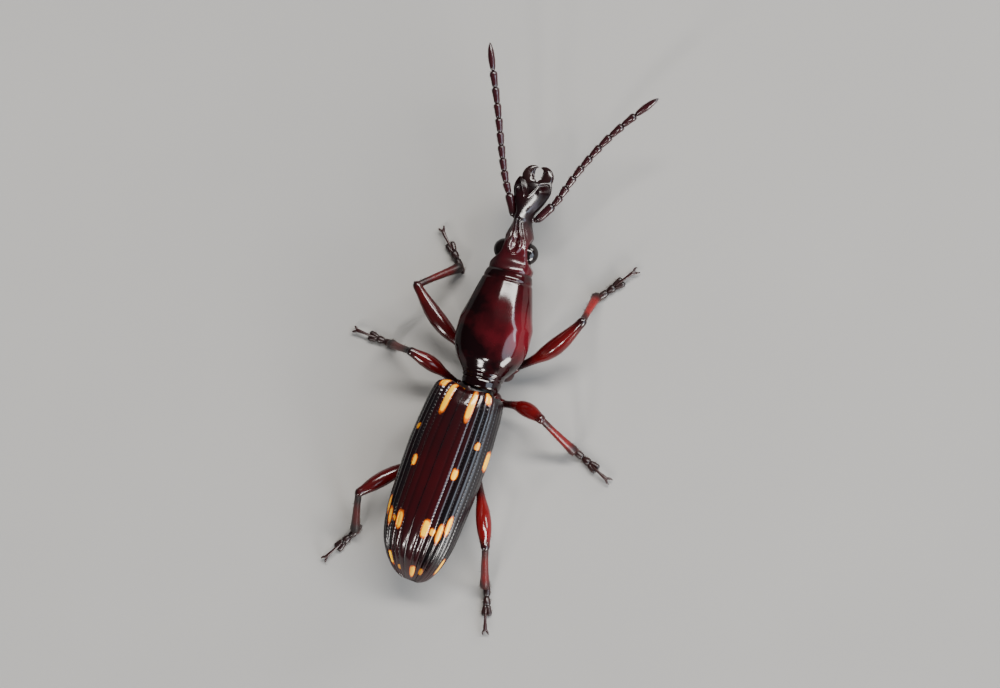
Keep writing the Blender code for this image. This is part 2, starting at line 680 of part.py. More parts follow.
def make_leg(pair, side, sign, finishes, parent, thorax_frame):
    sizes = LEGS[pair]
    pose = POSES[(pair, side)]
    name = "leg_" + pair + "_" + side
    hip = Vector((sign * sizes["side"], sizes["place"], 0))
    if pair == "front":
        hip = thorax_frame @ hip
    hip.z = belly_height(pair, hip, thorax_frame) - GAP - HIP_CUT
    thigh = heading_vector(pose["thigh"], sign, pose["lift"])
    knee = hip + thigh * sizes["femur"]
    drop = knee.z - ANKLE_LEVEL
    reach = math.sqrt(sizes["tibia"] ** 2 - drop**2)
    ankle = knee + heading_vector(pose["shin"], sign) * reach - Vector((0, 0, drop))
    shin = (ankle - knee).normalized()
    mitre = (thigh + shin).normalized()
    make_hip(name + "_coxa", hip, finishes["leg_red"], parent)
    femur_shape = []
    for fraction, radius in FEMUR_SHAPE:
        thickening = (sizes["girth"] - 1) * math.sin(math.pi * fraction)
        femur_shape.append((fraction, radius * (1 + thickening)))
    make_limb(
        name + "_femur", hip + thigh * TROCHANTER, knee,
        heading_vector(pose["thigh"] + 90, sign) * pose["bow"], femur_shape,
        (None, (knee - mitre * GAP / 2, mitre)), finishes["leg_red"], parent,
    )
    floor_up = Vector((0, 0, 1))
    make_limb(
        name + "_tibia", knee, ankle, Vector((0, 0, TIBIA_BOW)), TIBIA_SHAPE,
        ((knee + mitre * GAP / 2, mitre), (ankle, floor_up)), finishes["leg_red"], parent,
    )
    make_tarsus(
        name + "_tarsus", ankle, pose["foot"], sign, sizes["tarsus"], finishes["foot_dark"], parent
    )


def make_empty(name, place, yaw, parent):
    empty = bpy.data.objects.new(name, None)
    bpy.context.scene.collection.objects.link(empty)
    empty.location = Vector(place) * MM
    empty.rotation_euler = (0, 0, yaw)
    empty.parent = parent
    return empty


def stand_over_origin(stance):
    """Moves the whole beetle so that the middle of its box stands over the origin."""
    bpy.context.view_layer.update()
    corners = []
    for piece in bpy.data.objects:
        if piece.type == "MESH":
            corners += [piece.matrix_world @ vertex.co for vertex in piece.data.vertices]
    for axis in (0, 1):
        values = [corner[axis] for corner in corners]
        stance.location[axis] -= (min(values) + max(values)) / 2
    stance.location.z -= min(corner.z for corner in corners)


def main():
    clear_scene()
    finishes = {name: make_finish(name) for name in FINISHES}
    stance = make_empty("stance", (0, 0, 0), 0, None)
    thorax_joint = make_empty("thorax_joint", THORAX_BASE, THORAX_YAW, stance)
    neck_joint = make_empty("neck_joint", (0, THORAX_LENGTH, -NECK_DROP), HEAD_YAW, thorax_joint)
    thorax_frame = Matrix.Translation(THORAX_BASE) @ Matrix.Rotation(THORAX_YAW, 4, "Z")

    make_metathorax(finishes["belly_brown"], stance, thorax_frame)
    make_abdomen(finishes["belly_brown"], stance)
    make_prothorax(finishes["thorax_red"], thorax_joint)
    make_head(finishes["head_red"], neck_joint)
    for side, sign in (("l", -1), ("r", 1)):
        make_wing_case(side, sign, finishes["case_brown"], stance)
        make_eye(side, sign, finishes["eye_black"], neck_joint)
        make_jaw(side, sign, finishes["beak_black"], neck_joint)
        make_feeler(side, sign, finishes["feeler_brown"], neck_joint)
        for pair in LEGS:
            make_leg(pair, side, sign, finishes, stance, thorax_frame)
    stand_over_origin(stance)


main()
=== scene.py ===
"""Looks of the oak timberworm weevil: glossy plates, punctured ribs, spots, feelers, feet and bristles.

Each form is modelled in millimetres, in the frame of the part that carries it (the trunk, the
prothorax or the head), and is then set in place on the solids, in metres.
"""

import contextlib
import math

import bpy
import numpy as np
from mathutils import Matrix, Vector


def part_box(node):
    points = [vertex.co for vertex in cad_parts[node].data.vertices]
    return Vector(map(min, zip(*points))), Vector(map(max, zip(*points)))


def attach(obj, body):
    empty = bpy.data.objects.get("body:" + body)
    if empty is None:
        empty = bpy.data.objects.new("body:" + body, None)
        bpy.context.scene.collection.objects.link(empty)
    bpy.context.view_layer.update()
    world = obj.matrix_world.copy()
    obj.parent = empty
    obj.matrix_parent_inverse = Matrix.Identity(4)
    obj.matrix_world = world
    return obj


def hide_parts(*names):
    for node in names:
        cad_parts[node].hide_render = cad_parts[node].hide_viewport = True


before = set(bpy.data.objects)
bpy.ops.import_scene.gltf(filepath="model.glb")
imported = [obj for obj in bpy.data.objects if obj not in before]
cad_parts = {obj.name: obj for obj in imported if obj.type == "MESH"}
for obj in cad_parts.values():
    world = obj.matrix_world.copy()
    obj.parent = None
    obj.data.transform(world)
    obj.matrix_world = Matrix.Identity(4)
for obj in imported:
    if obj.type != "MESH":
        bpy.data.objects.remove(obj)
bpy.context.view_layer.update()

MM = 0.001
FULL_TURN = 2 * math.pi
UP = (0.0, 0.0, 1.0)
SIDES = (("l", -1), ("r", 1))
SHARP_EDGE = math.radians(50)

# Mesh counts: around and along a rolled form or a tube, segments and rings of a ball.
MESH = {
    "wing case": (170, 340), "trunk": (110, 230), "prothorax": (128, 220), "head": (180, 360),
    "scutellum": (28, 18), "mouth plate": (32, 20), "eye": (48, 32), "jaw root": (24, 16),
    "bead": (20, 22), "socket": (20, 14), "hip": (32, 22), "trochanter": (24, 16), "femur": (32, 48),
    "tibia": (28, 36), "spur": (10, 8), "pad": (24, 22), "claw joint": (18, 24), "claw": (12, 16),
}
JAW_AROUND = 20
JAW_STEPS = 26
TOOTH_AROUND = 12
BRISTLE_AROUND = 4

# Tones go from clear (0) to dark (1). These parts have one all over.
TONES = {
    "scutellum": 0.8, "mouth plate": 1.0, "jaw": 0.5, "scape ball": 0.6, "scape root": 0.7,
    "feeler bristles": 0.6, "hip": 0.8, "trochanter": 0.6, "spur": 0.8, "claw joint": 0.2,
    "limb bristles": 0.55,
}

# Wing cases: sizes in millimetres at distances behind their base.
CASE_LENGTH = 13.0
CASE_WIDTH = (
    (0.0, 4.2), (0.4, 4.66), (1.6, 5.02), (4.6, 5.36), (8.0, 5.2), (9.6, 4.94),
    (10.6, 4.56), (11.4, 4.02), (12.0, 3.42), (12.5, 2.7), (12.8, 2.02), (13.0, 1.2),
)
CASE_TOP = (
    (0.0, 4.8), (1.2, 5.18), (4.5, 5.4), (8.0, 5.3), (9.6, 4.98),
    (10.6, 4.6), (11.4, 4.1), (12.0, 3.52), (12.5, 2.88), (12.8, 2.42), (13.0, 2.1),
)
WIDEST_LEVEL = ((0.0, 3.4), (8.0, 3.4), (10.6, 3.05), (12.0, 2.5), (13.0, 1.9))
BELLY_LEVEL = ((0.0, 1.4), (9.6, 1.4), (11.4, 1.5), (13.0, 1.6))
CASE_EDGE_ANGLE = math.radians(116)
CASE_ROUNDNESS = 2.3
RIBS = 10
SUTURE_GAP = 0.008
CASE_THICKNESS = 0.3
CASE_OUTSIDE_SHARE = 0.88
# Share of the inside over which the wall folds in at the case's edge and out again at the suture.
CASE_FOLD = ((0.0, 0.16), (0.94, 1.0))
CASE_RIM_DROP = 0.16
CASE_RIM_LENGTH = 0.22
# The front margin leads at the shoulder and lags at the scutellum, by ribs from the suture.
SHOULDER_RIB = 3.6
SHOULDER_RIBS = 1.6
SHOULDER_LEAD = 0.14
SCUTELLUM_RIBS = 1.1
SCUTELLUM_LAG = 0.12
MARGIN_LENGTH = 1.6
# The line between the wing cases leans by these amounts, to the right, at distances back.
SUTURE_LEAN = ((0.0, 0.12), (3.5, 0.03), (6.0, 0.0), (9.0, -0.1), (12.0, -0.2), (13.0, -0.2))
GROOVE_DEPTH = (
    (0.0, 0.0), (1.0, 0.03), (2.0, 0.05), (3.0, 0.1), (4.0, 0.075), (5.0, 0.022), (7.0, 0.018),
    (10.0, 0.018),
)
PIT_DEPTH = ((0.0, 0.0), (1.0, 0.016), (2.0, 0.026), (3.0, 0.042), (5.0, 0.028), (10.0, 0.022))
RIB_ROUNDNESS = ((0.0, 0.6), (2.5, 0.6), (3.5, 1.0), (4.6, 0.8), (6.0, 0.5), (10.0, 0.5))
RIB_PITCH = 0.46
PIT_PITCH = 0.23
PIT_SIZE = 0.075
PIT_REACH = ((0.15, 0.5), (11.6, 12.4))
# Towards the tail the grooves deepen by a share, and the inner ones by a depth too. Where the case is
# narrower than the full-depth width, they get shallower with it.
APEX_SPAN = (8.5, 11.5)
APEX_SHARE = 0.6
APEX_INNER_DEPTH = 0.05
APEX_INNER_RIBS = 3.5
FULL_DEPTH_WIDTH = 3.4
LEAST_DEPTH_SHARE = 0.25
# How much rougher the right flank is than the top, and how much less the left one reflects.
CASE_DULLNESS = 1.3
CASE_DULL_RIBS = (4.3, 5.3)
CASE_MATT = 0.7
CASE_MATT_RIBS = (3.5, 6.0)

# Spots on a wing case: rib from the suture, half width in ribs, start and end behind the base, strength.
SPOTS = {
    "basal band": (1.5, 0.42, 0.0, 1.95, 1.0),
    "basal shoulder": (3.8, 0.55, 0.0, 0.62, 1.0),
    "front dot": (4.4, 0.38, 3.05, 3.5, 0.75),
    "middle dot": (2.6, 0.42, 5.05, 5.75, 1.0),
    "side streak": (7.7, 0.75, 3.4, 4.65, 1.0),
    "rear band inner": (1.5, 0.44, 8.7, 9.9, 1.0),
    "rear dot": (2.55, 0.4, 9.1, 9.55, 0.8),
    "rear band middle": (3.6, 0.42, 8.7, 9.95, 1.0),
    "rear band outer": (4.6, 0.4, 8.05, 9.25, 1.0),
    "apical side": (7.1, 0.42, 10.85, 11.95, 0.95),
    "apical band": (1.4, 0.46, 11.95, 12.65, 0.95),
    "apical dot": (3.1, 0.4, 11.95, 12.35, 0.45),
}
# Powers of a spot's rounding along and across, and where its middle and its rim begin and are full.
SPOT_POWERS = (3.0, 2.4)
SPOT_EDGES = {"Middle": (1.0, 0.55), "Rim": (1.9, 0.85)}
SPOT_NOISE_SCALE = 2600.0
SPOT_WANDER = 0.07
SPOT_RIM = (0.36, 0.065, 0.002, 1)
SPOT_YELLOWS = ((0.58, 0.28, 0.0, 1), (0.66, 0.37, 0.0, 1))
# The left wing case has these spots otherwise.
LEFT_SPOTS = {
    "basal shoulder": (3.5, 0.75, 0.0, 0.48, 0.85),
    "front dot": (4.4, 0.32, 3.1, 3.45, 0.3),
    "rear band inner": (1.75, 0.44, 8.7, 9.9, 1.0),
    "rear dot": (2.8, 0.36, 9.1, 9.5, 0.6),
    "rear band middle": (3.8, 0.42, 8.7, 9.95, 1.0),
    "rear band outer": (4.85, 0.4, 8.05, 9.25, 1.0),
    "apical side": (7.1, 0.42, 10.85, 11.95, 0.25),
    "apical band": (3.3, 0.46, 11.5, 12.25, 0.95),
    "apical dot": (1.2, 0.3, 12.2, 12.5, 0.25),
}

# Trunk below the wing cases, with its borders as (distance back, depth, bow, half width) and its
# grooves as (side, depth, half width, and the distances over which they begin and end).
TRUNK_FRONT = 0.34
TRUNK_REAR = 12.1
TRUNK_END = 0.5
TRUNK_ROUNDNESS = 2.2
CASE_CLEARANCE = (0.34, 0.36)
NECK_WIDTH = 0.58
NECK_HEIGHT = 0.78
NECK_LEAN = 0.6
TAIL_SIZE = 0.7
BELLY_BORDERS = (
    (5.0, 0.1, 0.12, 0.09), (6.9, 0.07, 0.1, 0.07), (8.3, 0.07, 0.1, 0.07), (9.6, 0.07, 0.1, 0.07),
    (10.8, 0.07, 0.1, 0.07),
)
BELLY_GROOVES = ((0.0, 0.06, 0.08, (1.2, 1.8), (4.4, 4.8)), (1.55, 0.05, 0.08, (0.8, 1.2), (4.7, 4.9)))
SCUTELLUM_PLACE = (0.12, -0.04, 4.5)
SCUTELLUM_SIZE = (0.2, 0.24, 0.07)

# Prothorax: sizes at fractions of its length, from its base.
THORAX_BASE = (0.5, 0.38, 3.4)
THORAX_YAW = math.radians(5.6)
THORAX_LENGTH = 7.6
THORAX_WIDTH = (
    (0.0, 2.4), (0.1, 2.75), (0.15, 3.3), (0.205, 3.93), (0.31, 4.65), (0.42, 4.88),
    (0.53, 4.85), (0.64, 4.42), (0.745, 4.0), (0.855, 3.56), (1.0, 2.98),
)
THORAX_UP = (
    (0.0, 1.1), (0.12, 1.3), (0.25, 1.8), (0.45, 2.05), (0.7, 1.8), (0.92, 1.4), (0.935, 1.375),
    (0.99, 1.2), (1.0, 1.16),
)
THORAX_DOWN = ((0.0, 1.5), (0.1, 1.8), (0.25, 2.0), (0.6, 2.0), (0.85, 1.65), (1.0, 1.2))
THORAX_ROUNDNESS = 2.1
# Gentle waves on its right side: height, phase for each millimetre and round it, middle and half length.
THORAX_WAVE = 0.008
THORAX_WAVE_PHASE = (3.9, 2)
THORAX_WAVE_PLACE = 4.2
THORAX_WAVE_REACH = 1.8
# Rings cut round it: place in millimetres from its base, depth and half width of each.
THORAX_RINGS = (
    (0.0, 0.05, 0.07), (0.45, 0.06, 0.05), (0.68, 0.045, 0.05), (0.9, 0.02, 0.05), (7.02, 0.05, 0.08),
    (THORAX_LENGTH, 0.05, 0.08),
)
# Its two ends are turned in: share of the grid for each, how much they narrow, and how deep they go.
THORAX_END = 0.05
BASE_NARROWING = 0.32
FRONT_NARROWING = 0.3
NARROWING_POWER = 1.5
THORAX_INWARD = 0.3
THORAX_EDGE = 0.06
THORAX_HEM = 0.12
THORAX_HEM_LENGTH = 0.5
# What each region adds to its tone. Painted light clears the right flank, and painted shade darkens the left
# side.
THORAX_TONE = 0.8
THORAX_TONES_AND_PAINTED_LIGHT = {"right": -0.5, "left": 0.22, "below": 0.6, "middle": -0.08, "base": 0.42, "front": 0.06}
# How much less the left sides of the prothorax and the head reflect.
LEFT_MATT = 0.85

# Head: sizes at distances in front of the prothorax.
NECK_DROP = 0.1
HEAD_YAW = math.radians(1.0)
HEAD_SLOPE = 0.09
HEAD_BACK = -0.5
HEAD_FRONT = 6.25
HEAD_NOTCH = 0.42
HEAD_NOTCH_WIDTH = 0.95
HEAD_NOTCH_POWER = 1.4
HEAD_NOTCH_START = 4.6
# Line along its front margin: place, height and half width.
HEAD_MARGIN = (6.14, 0.06, 0.09)
# Grooves of the throat: side, depth and half width, and the places over which they begin and end.
THROAT_GROOVE = (0.45, 0.06, 0.08)
THROAT_REACH = ((1.0, 1.8), (4.8, 5.4))
HEAD_MOUTH_SHARE = 0.06
MOUTH_PLACE = 5.0
MOUTH_NARROWING = 0.5
MOUTH_POWER = 1.2
MOUTH_PLATE_PLACE = (0.0, 5.66, -0.56)
MOUTH_PLATE_SIZE = (0.6, 0.46, 0.17)
HEAD_WIDTH = (
    (-0.5, 2.2), (0.0, 2.84), (0.3, 2.92), (0.7, 2.84), (2.1, 2.06), (2.67, 1.64), (3.2, 1.18),
    (3.6, 1.02), (3.9, 1.08), (4.47, 1.72), (5.07, 2.24), (5.55, 2.5), (5.9, 2.42), (6.25, 2.12),
)
HEAD_UP = (
    (-0.5, 0.98), (0.0, 1.16), (0.1, 1.18), (0.2, 1.165), (0.68, 1.0), (0.85, 0.98), (1.5, 1.05),
    (2.67, 0.8), (3.25, 0.79), (3.5, 0.83), (3.75, 0.79), (4.0, 0.73), (4.6, 0.57), (5.3, 0.38),
    (5.85, 0.25), (6.25, 0.16),
)
HEAD_DOWN = ((-0.5, 0.9), (0.3, 1.05), (1.4, 1.05), (2.67, 0.72), (3.7, 0.52), (5.9, 0.4), (6.25, 0.34))
HEAD_ROUNDNESS = 2.3
# The top of the head leans by these amounts, to the right, at places along it.
HEAD_LEAN = ((0.6, 0.0), (1.3, 0.12), (2.0, 0.1), (2.7, -0.05), (3.6, -0.2), (6.25, -0.24))
EYE_PLACE = 1.37
EYE_LEVEL = -0.12
EYE_SIDE = 0.79
EYE_SIZE = (0.71, 0.71, 0.66)
EYE_SPECULAR = {"l": 0.14, "r": 0.34}
# Brow round each eye: length and height, depth and width of its groove, and depth of the eye's seat.
BROW_SIZE = (0.86, 0.82)
BROW_DEPTH = 0.16
BROW_WIDTH = 0.16
EYE_SEAT = 0.22

# Ridges on top of the head, on its right side: paths as (side, place), height and half width.
HEAD_RIDGES = {
    "bowl rim": (((0.0, 1.2), (0.2, 1.26), (0.34, 1.5), (0.36, 1.8), (0.3, 2.1)), 0.1, 0.1),
    "bowl arm": (((0.3, 2.1), (0.2, 2.45), (0.13, 2.8), (0.1, 3.3)), 0.07, 0.07),
    "brow": (((0.66, 1.9), (0.5, 2.3), (0.37, 2.8), (0.3, 3.2)), 0.06, 0.08),
}
# Snout: half distance of the fork's two arms, depth between them and half width of the flat beside them.
FORK_SPREAD = ((4.75, 0.02), (5.1, 0.2), (5.4, 0.36), (5.7, 0.52), (6.25, 0.8))
FORK_DEPTH = ((4.75, 0.0), (5.1, 0.08), (5.5, 0.2), (6.25, 0.26))
FLAT_SPREAD = ((3.6, 0.3), (3.9, 0.38), (4.5, 0.58), (5.1, 0.76), (5.45, 0.84), (5.8, 0.6))
FLAT_STEP = 0.08
FLAT_EDGE = (-0.05, 0.18)
FLAT_START = (3.7, 4.3)
HOLLOW_WALL = 0.19
# Ridges along the arms: height, half width and the places over which they begin.
ARM_RIDGE = (0.04, 0.08)
ARM_START = (4.85, 5.1)
# How far down into the hollow the wall of the fork's left arm is polished.
LEFT_WALL = 0.14
# Swellings over the jaws and at the feelers' sockets: side, place, height and half width.
JAW_SWELLING = (0.95, 5.5, 0.09, 0.3)
SOCKET_PLACE = (0.48, 3.58)
SOCKET_RIM = (*SOCKET_PLACE, 0.07, 0.17)
# Hollows of the head, given as its ridges are, with their depth.
HEAD_HOLLOWS = {
    "bowl": (((0.0, 1.55), (0.0, 2.0)), 0.13, 0.17),
    "bowl way out": (((0.0, 2.1), (0.0, 3.5)), 0.06, 0.06),
    "behind the eyes": (((0.0, 1.0), (0.35, 1.02), (0.8, 1.08)), 0.012, 0.07),
}

# What each region adds to the head's tone. Painted light clears its right side and the snout's right side;
# painted shade darkens its left side and the snout's hollow.
HEAD_TONE = 0.5
HEAD_TONES_AND_PAINTED_LIGHT = {"snout": 0.6, "snout right painted light": -0.12, "below": 0.6, "left": 0.35, "right": -0.28, "hollow": 1.0}
FLAT_POLISH = 0.6
HOLLOW_MATT = 0.8
# How much less the snout reflects beside its flat, and what is added near its front.
BESIDE_MATT = 0.55
FRONT_MATT = 0.37

# Jaws: each bends along an arc.
JAW_ARC_RADIUS = 0.58
JAW_ARC_SIDE = {"l": 0.04, "r": 0.18}
JAW_ARC_PLACE = 6.48
JAW_DROP = 0.12
JAW_START = math.radians(-52)
JAW_END = {"l": math.radians(92), "r": math.radians(95)}
JAW_ROOT_RADIUS = 0.4
JAW_THICKNESS = ((0.0, 1.0), (0.3, 0.98), (0.6, 0.74), (0.85, 0.36), (1.0, 0.04))
JAW_FLATNESS = 0.6
JAW_ROOT = (0.36, -0.46)
JAW_ROOT_SIZE = (0.46, 0.36, 0.22)
# Teeth: bearing on the arc and height of each, how deep they start and how far they lean to the tip.
JAW_TEETH = {"l": ((22, 0.3), (52, 0.18)), "r": ((20, 0.28), (50, 0.16))}
TOOTH_INSET = 0.1
TOOTH_LEAN = 0.25
TOOTH_ROOT = 0.15
TOOTH_RADIUS = 0.17
TOOTH_TIP_RADIUS = 0.03

# Antennae: eleven joints in a row, with the direction that the whole feeler takes.
FEELER_JOINTS = (1.4, 0.75, 0.75, 0.8, 0.85, 0.85, 0.9, 0.95, 1.05, 1.05, 1.85)
FEELER_PARTS = {"scape": (0, 1), "funicle": (1, 8), "club": (8, 11)}
FEELER_SCAPE = (
    (-0.1, 0.08), (-0.05, 0.2), (0.06, 0.255), (0.2, 0.27), (0.5, 0.275), (0.8, 0.29), (0.94, 0.25),
    (1.0, 0.12),
)
FEELER_BEAD = (
    (0.0, 0.13), (0.05, 0.175), (0.18, 0.205), (0.5, 0.225), (0.8, 0.255), (0.93, 0.22), (1.0, 0.13),
)
FEELER_LAST = (
    (0.0, 0.08), (0.04, 0.13), (0.15, 0.19), (0.45, 0.225), (0.7, 0.19), (0.9, 0.11), (1.0, 0.02),
)
FEELER_STEP = 0.1
FEELER_BRISTLES = {"scape": 16, "other": 30}
FEELER_BRISTLE_SPAN = (0.25, 0.97)
FEELER_BRISTLE_LEAN = 0.65
FEELER_ROOT_SIDE = 0.84
FEELER_ROOT_PLACE = 3.7
FEELER_ROOT_DROP = 0.05
SCAPE_BALL_SIZE = (0.2, 0.19, 0.17)
SCAPE_BALL_SHARE = 0.7
SCAPE_ROOT_SIZE = (0.16, 0.16, 0.15)
FEELER_RISE = math.radians(9)
FEELER_HEADING = {
    "l": ((0.0, 24), (1.6, 26), (2.4, 22), (3.2, 19.5), (5.0, 17), (9.0, 19.5), (11.0, 17)),
    "r": ((0.0, 38), (1.5, 36), (2.0, 24), (3.2, 26), (4.5, 30), (6.0, 33), (7.5, 39), (11.0, 46)),
}

# Legs: joint lengths, girth, how far out the club of the thigh lies, and poses, with headings
# counted outwards from straight ahead.
HIP_CUT = 0.25
HIP_RISE = 0.2
HIP_SIZE = (0.5, 0.56, 0.68)
TROCHANTER = 0.85
TROCHANTER_SPAN = (0.3, 0.98)
TROCHANTER_SHAPE = ((0.0, 0.2), (0.3, 0.3), (0.7, 0.29), (0.95, 0.24), (1.0, 0.1))
ANKLE_LEVEL = 0.78
FOOT_BACK = 0.3
LEGS = {
    "front": {"femur": 6.9, "tibia": 3.38, "tarsus": 3.4, "girth": 1.1, "club": 0.0},
    "middle": {"femur": 4.65, "tibia": 3.35, "tarsus": 3.3, "girth": 0.98, "club": 0.04},
    "hind": {"femur": 6.39, "tibia": 3.45, "tarsus": 3.4, "girth": 0.98, "club": 0.12},
}
POSES = {
    ("front", "r"): {"thigh": 41.6, "lift": 21.9, "shin": -13.7, "foot": 35.6, "bow": 0.35},
    ("front", "l"): {"thigh": 57.2, "lift": 16.6, "shin": -37.7, "foot": 47, "bow": 0.35},
    ("middle", "r"): {"thigh": 91, "lift": 29.2, "shin": 121, "foot": 110.5, "bow": -0.25},
    ("middle", "l"): {"thigh": 73.4, "lift": 30.6, "shin": 91.4, "foot": 88.2, "bow": -0.1},
    ("hind", "r"): {"thigh": 146.1, "lift": 20.8, "shin": 176.2, "foot": 161.2, "bow": -0.1},
    ("hind", "l"): {"thigh": 141.1, "lift": 20.8, "shin": 175.8, "foot": 150.7, "bow": -0.1},
}
FEMUR_SHAPE = (
    (-0.14, 0.2), (-0.1, 0.23), (0.0, 0.23), (0.16, 0.25), (0.28, 0.31), (0.42, 0.46), (0.55, 0.51),
    (0.68, 0.48), (0.8, 0.4), (0.92, 0.32), (1.0, 0.3), (1.03, 0.22), (1.05, 0.04),
)
TIBIA_SHAPE = (
    (-0.03, 0.05), (0.0, 0.2), (0.06, 0.22), (0.2, 0.22), (0.55, 0.25), (0.82, 0.29), (0.97, 0.34),
    (1.03, 0.3), (1.07, 0.12),
)
TIBIA_BOW = 0.08
# Spurs beside the ankle: root and length, each as (along the shin, to the side).
SPUR_ROOT = (0.02, 0.2)
SPUR_LENGTH = (0.32, 0.08)
SPUR_SHAPE = ((0.0, 0.07), (0.5, 0.05), (1.0, 0.008))
# The ends of a limb are dark: where it begins at the root and at the tip, and over which share.
LIMB_END_TONE = 0.95
FEMUR_DARK = (0.14, 1.04, 0.2)
TIBIA_DARK = (0.1, 0.96, 0.26)
# Tones of the thigh's and the shin's middles: painted shade makes the left legs darker, and painted light
# the right ones clearer.
LEG_TONES_AND_PAINTED_LIGHT = {
    ("front", "r"): (0.45, 0.1),
    ("front", "l"): (0.68, 0.68),
    ("middle", "r"): (0.18, 0.35),
    ("middle", "l"): (0.55, 0.8),
    ("hind", "r"): (0.02, 0.55),
    ("hind", "l"): (0.58, 0.8),
}

# Feet: pads from a root to a tip, as (share of the foot's length, side, level), with their radii.
# Their tone, and what is added to it at their tips, follow.
FOOT_PADS = (
    ((-0.02, 0, 0.36), (0.3, 0, 0.2), ((0.0, 0.1), (0.15, 0.16), (0.7, 0.24), (0.93, 0.22), (1.0, 0.1))),
    ((0.29, 0, 0.2), (0.47, 0, 0.19), ((0.0, 0.1), (0.2, 0.19), (0.7, 0.26), (0.94, 0.22), (1.0, 0.1))),
    (
        (0.45, 0.07, 0.19), (0.67, 0.21, 0.15),
        ((0.0, 0.1), (0.25, 0.17), (0.75, 0.18), (0.95, 0.12), (1.0, 0.04)),
    ),
)
PAD_TONE = 0.5
PAD_TIP_TONE = 0.35
SOLE_LEVEL = 0.004
CLAW_JOINT_PATH = ((0.5, 0.26), (0.62, 0.38), (0.75, 0.42), (0.87, 0.39), (0.96, 0.32))
CLAW_JOINT_SHAPE = ((0.0, 0.05), (0.1, 0.07), (0.5, 0.09), (0.85, 0.13), (0.97, 0.12), (1.0, 0.04))
# Claws: reach, spread and rise, each as a sine over an angle, and how far the tip hooks down.
CLAW_PLACE = 0.93
CLAW_SIDE = 0.05
CLAW_LEVEL = 0.3
CLAW_REACH = (0.36, 1.25)
CLAW_SPREAD = (0.14, 2.2)
CLAW_RISE = (0.07, 2.4)
CLAW_HOOK = 0.25
CLAW_TONES = (0.1, 0.8)
CLAW_SHAPE = ((0.0, 0.085), (0.3, 0.08), (0.7, 0.045), (1.0, 0.008))

# Bristles: length and radius in millimetres, and how far they bend.
FEELER_BRISTLE = (0.13, 0.011)
LIMB_BRISTLE = (0.16, 0.011)
BRISTLE_BEND = 0.16
BRISTLE_SPIN = 6
# Bristles on a limb: count, part of the limb and how far they lean out.
FEMUR_BRISTLES = (60, (0.1, 0.95), 0.5)
TIBIA_BRISTLES = ((120, (0.08, 1.0), 0.55), (40, (0.93, 1.02), 0.3))
# Brushes of the three pads: middle and reach as shares of the foot's length, and half width.
BRUSHES = ((0.155, 0.15, 0.25), (0.375, 0.105, 0.27), (0.56, 0.105, 0.34))
BRUSH_COUNT = 34
BRUSH_INSET = 0.95
BRUSH_LEVELS = (0.07, 0.3)
BRUSH_MIDDLE = 0.2
BRUSH_HEIGHT = 0.3
BRUSH_LEAN = (0.9, 1.1, -0.25)

# Cuticles: name, clear and dark colour, roughness of the clear and of the dark, grain as (scale, pit
# scale, pit share, relief in millimetres) and specular level. The masked ones have a matt mark.
CUTICLES = {
    "thorax": (
        "polished mahogany cuticle", (0.076, 0.0042, 0.0075), (0.003, 0.0004, 0.0007), (0.08, 0.12),
        (5000.0, 16000.0, 0.1, 0.0008), 0.32,
    ),
    "head": (
        "dark red head cuticle", (0.042, 0.0028, 0.005), (0.004, 0.001, 0.0015), (0.06, 0.32),
        (9000.0, 16000.0, 0.15, 0.002), 0.4,
    ),
    "beak": (
        "black jaw cuticle", (0.014, 0.004, 0.004), (0.004, 0.0025, 0.0025), (0.12, 0.24),
        (9000.0, 12000.0, 0.3, 0.002), 0.42,
    ),
    "feeler": (
        "red-brown feeler", (0.02, 0.003, 0.0045), (0.005, 0.002, 0.0028), (0.16, 0.28),
        (12000.0, 20000.0, 0.5, 0.004), 0.42,
    ),
    "belly": (
        "brown belly cuticle", (0.03, 0.005, 0.0045), (0.004, 0.0018, 0.0018), (0.28, 0.4),
        (8000.0, 9000.0, 1.0, 0.006), 0.3,
    ),
    "leg": (
        "red leg cuticle", (0.085, 0.0024, 0.003), (0.005, 0.0014, 0.0018), (0.1, 0.2),
        (9000.0, 15000.0, 0.2, 0.002), 0.4,
    ),
    "shin": (
        "grained shin cuticle", (0.13, 0.0034, 0.004), (0.004, 0.0016, 0.0018), (0.2, 0.4),
        (6000.0, 11000.0, 0.8, 0.016), 0.28,
    ),
    "foot": (
        "dark foot cuticle", (0.018, 0.004, 0.004), (0.004, 0.002, 0.002), (0.26, 0.4),
        (9000.0, 15000.0, 0.6, 0.005), 0.35,
    ),
    "bristle": (
        "brown bristle", (0.05, 0.02, 0.01), (0.012, 0.005, 0.004), (0.4, 0.5),
        (9000.0, 15000.0, 0.1, 0.001), 0.2,
    ),
}
for side, _ in SIDES:
    CUTICLES["eye_" + side] = (
        "faceted eye " + side, (0.004, 0.0025, 0.0025), (0.002, 0.002, 0.002), (0.1, 0.16),
        (3000.0, 30000.0, 1.0, 0.0008), EYE_SPECULAR[side],
    )
    CUTICLES["case_" + side] = (
        "dark wing case cuticle " + side, (0.017, 0.0011, 0.0017), (0.0022, 0.0012, 0.0018), (0.12, 0.22),
        (9000.0, 15000.0, 0.12, 0.002), 0.42,
    )
MASKED = ("thorax", "head", "case_l")
# The noise's values lie in this range. It moves the tones and the ends of the spots a little.
NOISE_RANGE = (0.3, 0.7)
TONE_SCALE = 900.0
TONE_DRIFT = 0.1
GRAIN_PIT_RADIUS = 0.32

FLOOR_RADIUS = 4
FLOOR_NOISE = 60.0
FLOOR_ROUGHNESS = 0.8
FLOOR_TONES = ((0.205, 0.2, 0.192, 1), (0.225, 0.22, 0.211, 1))

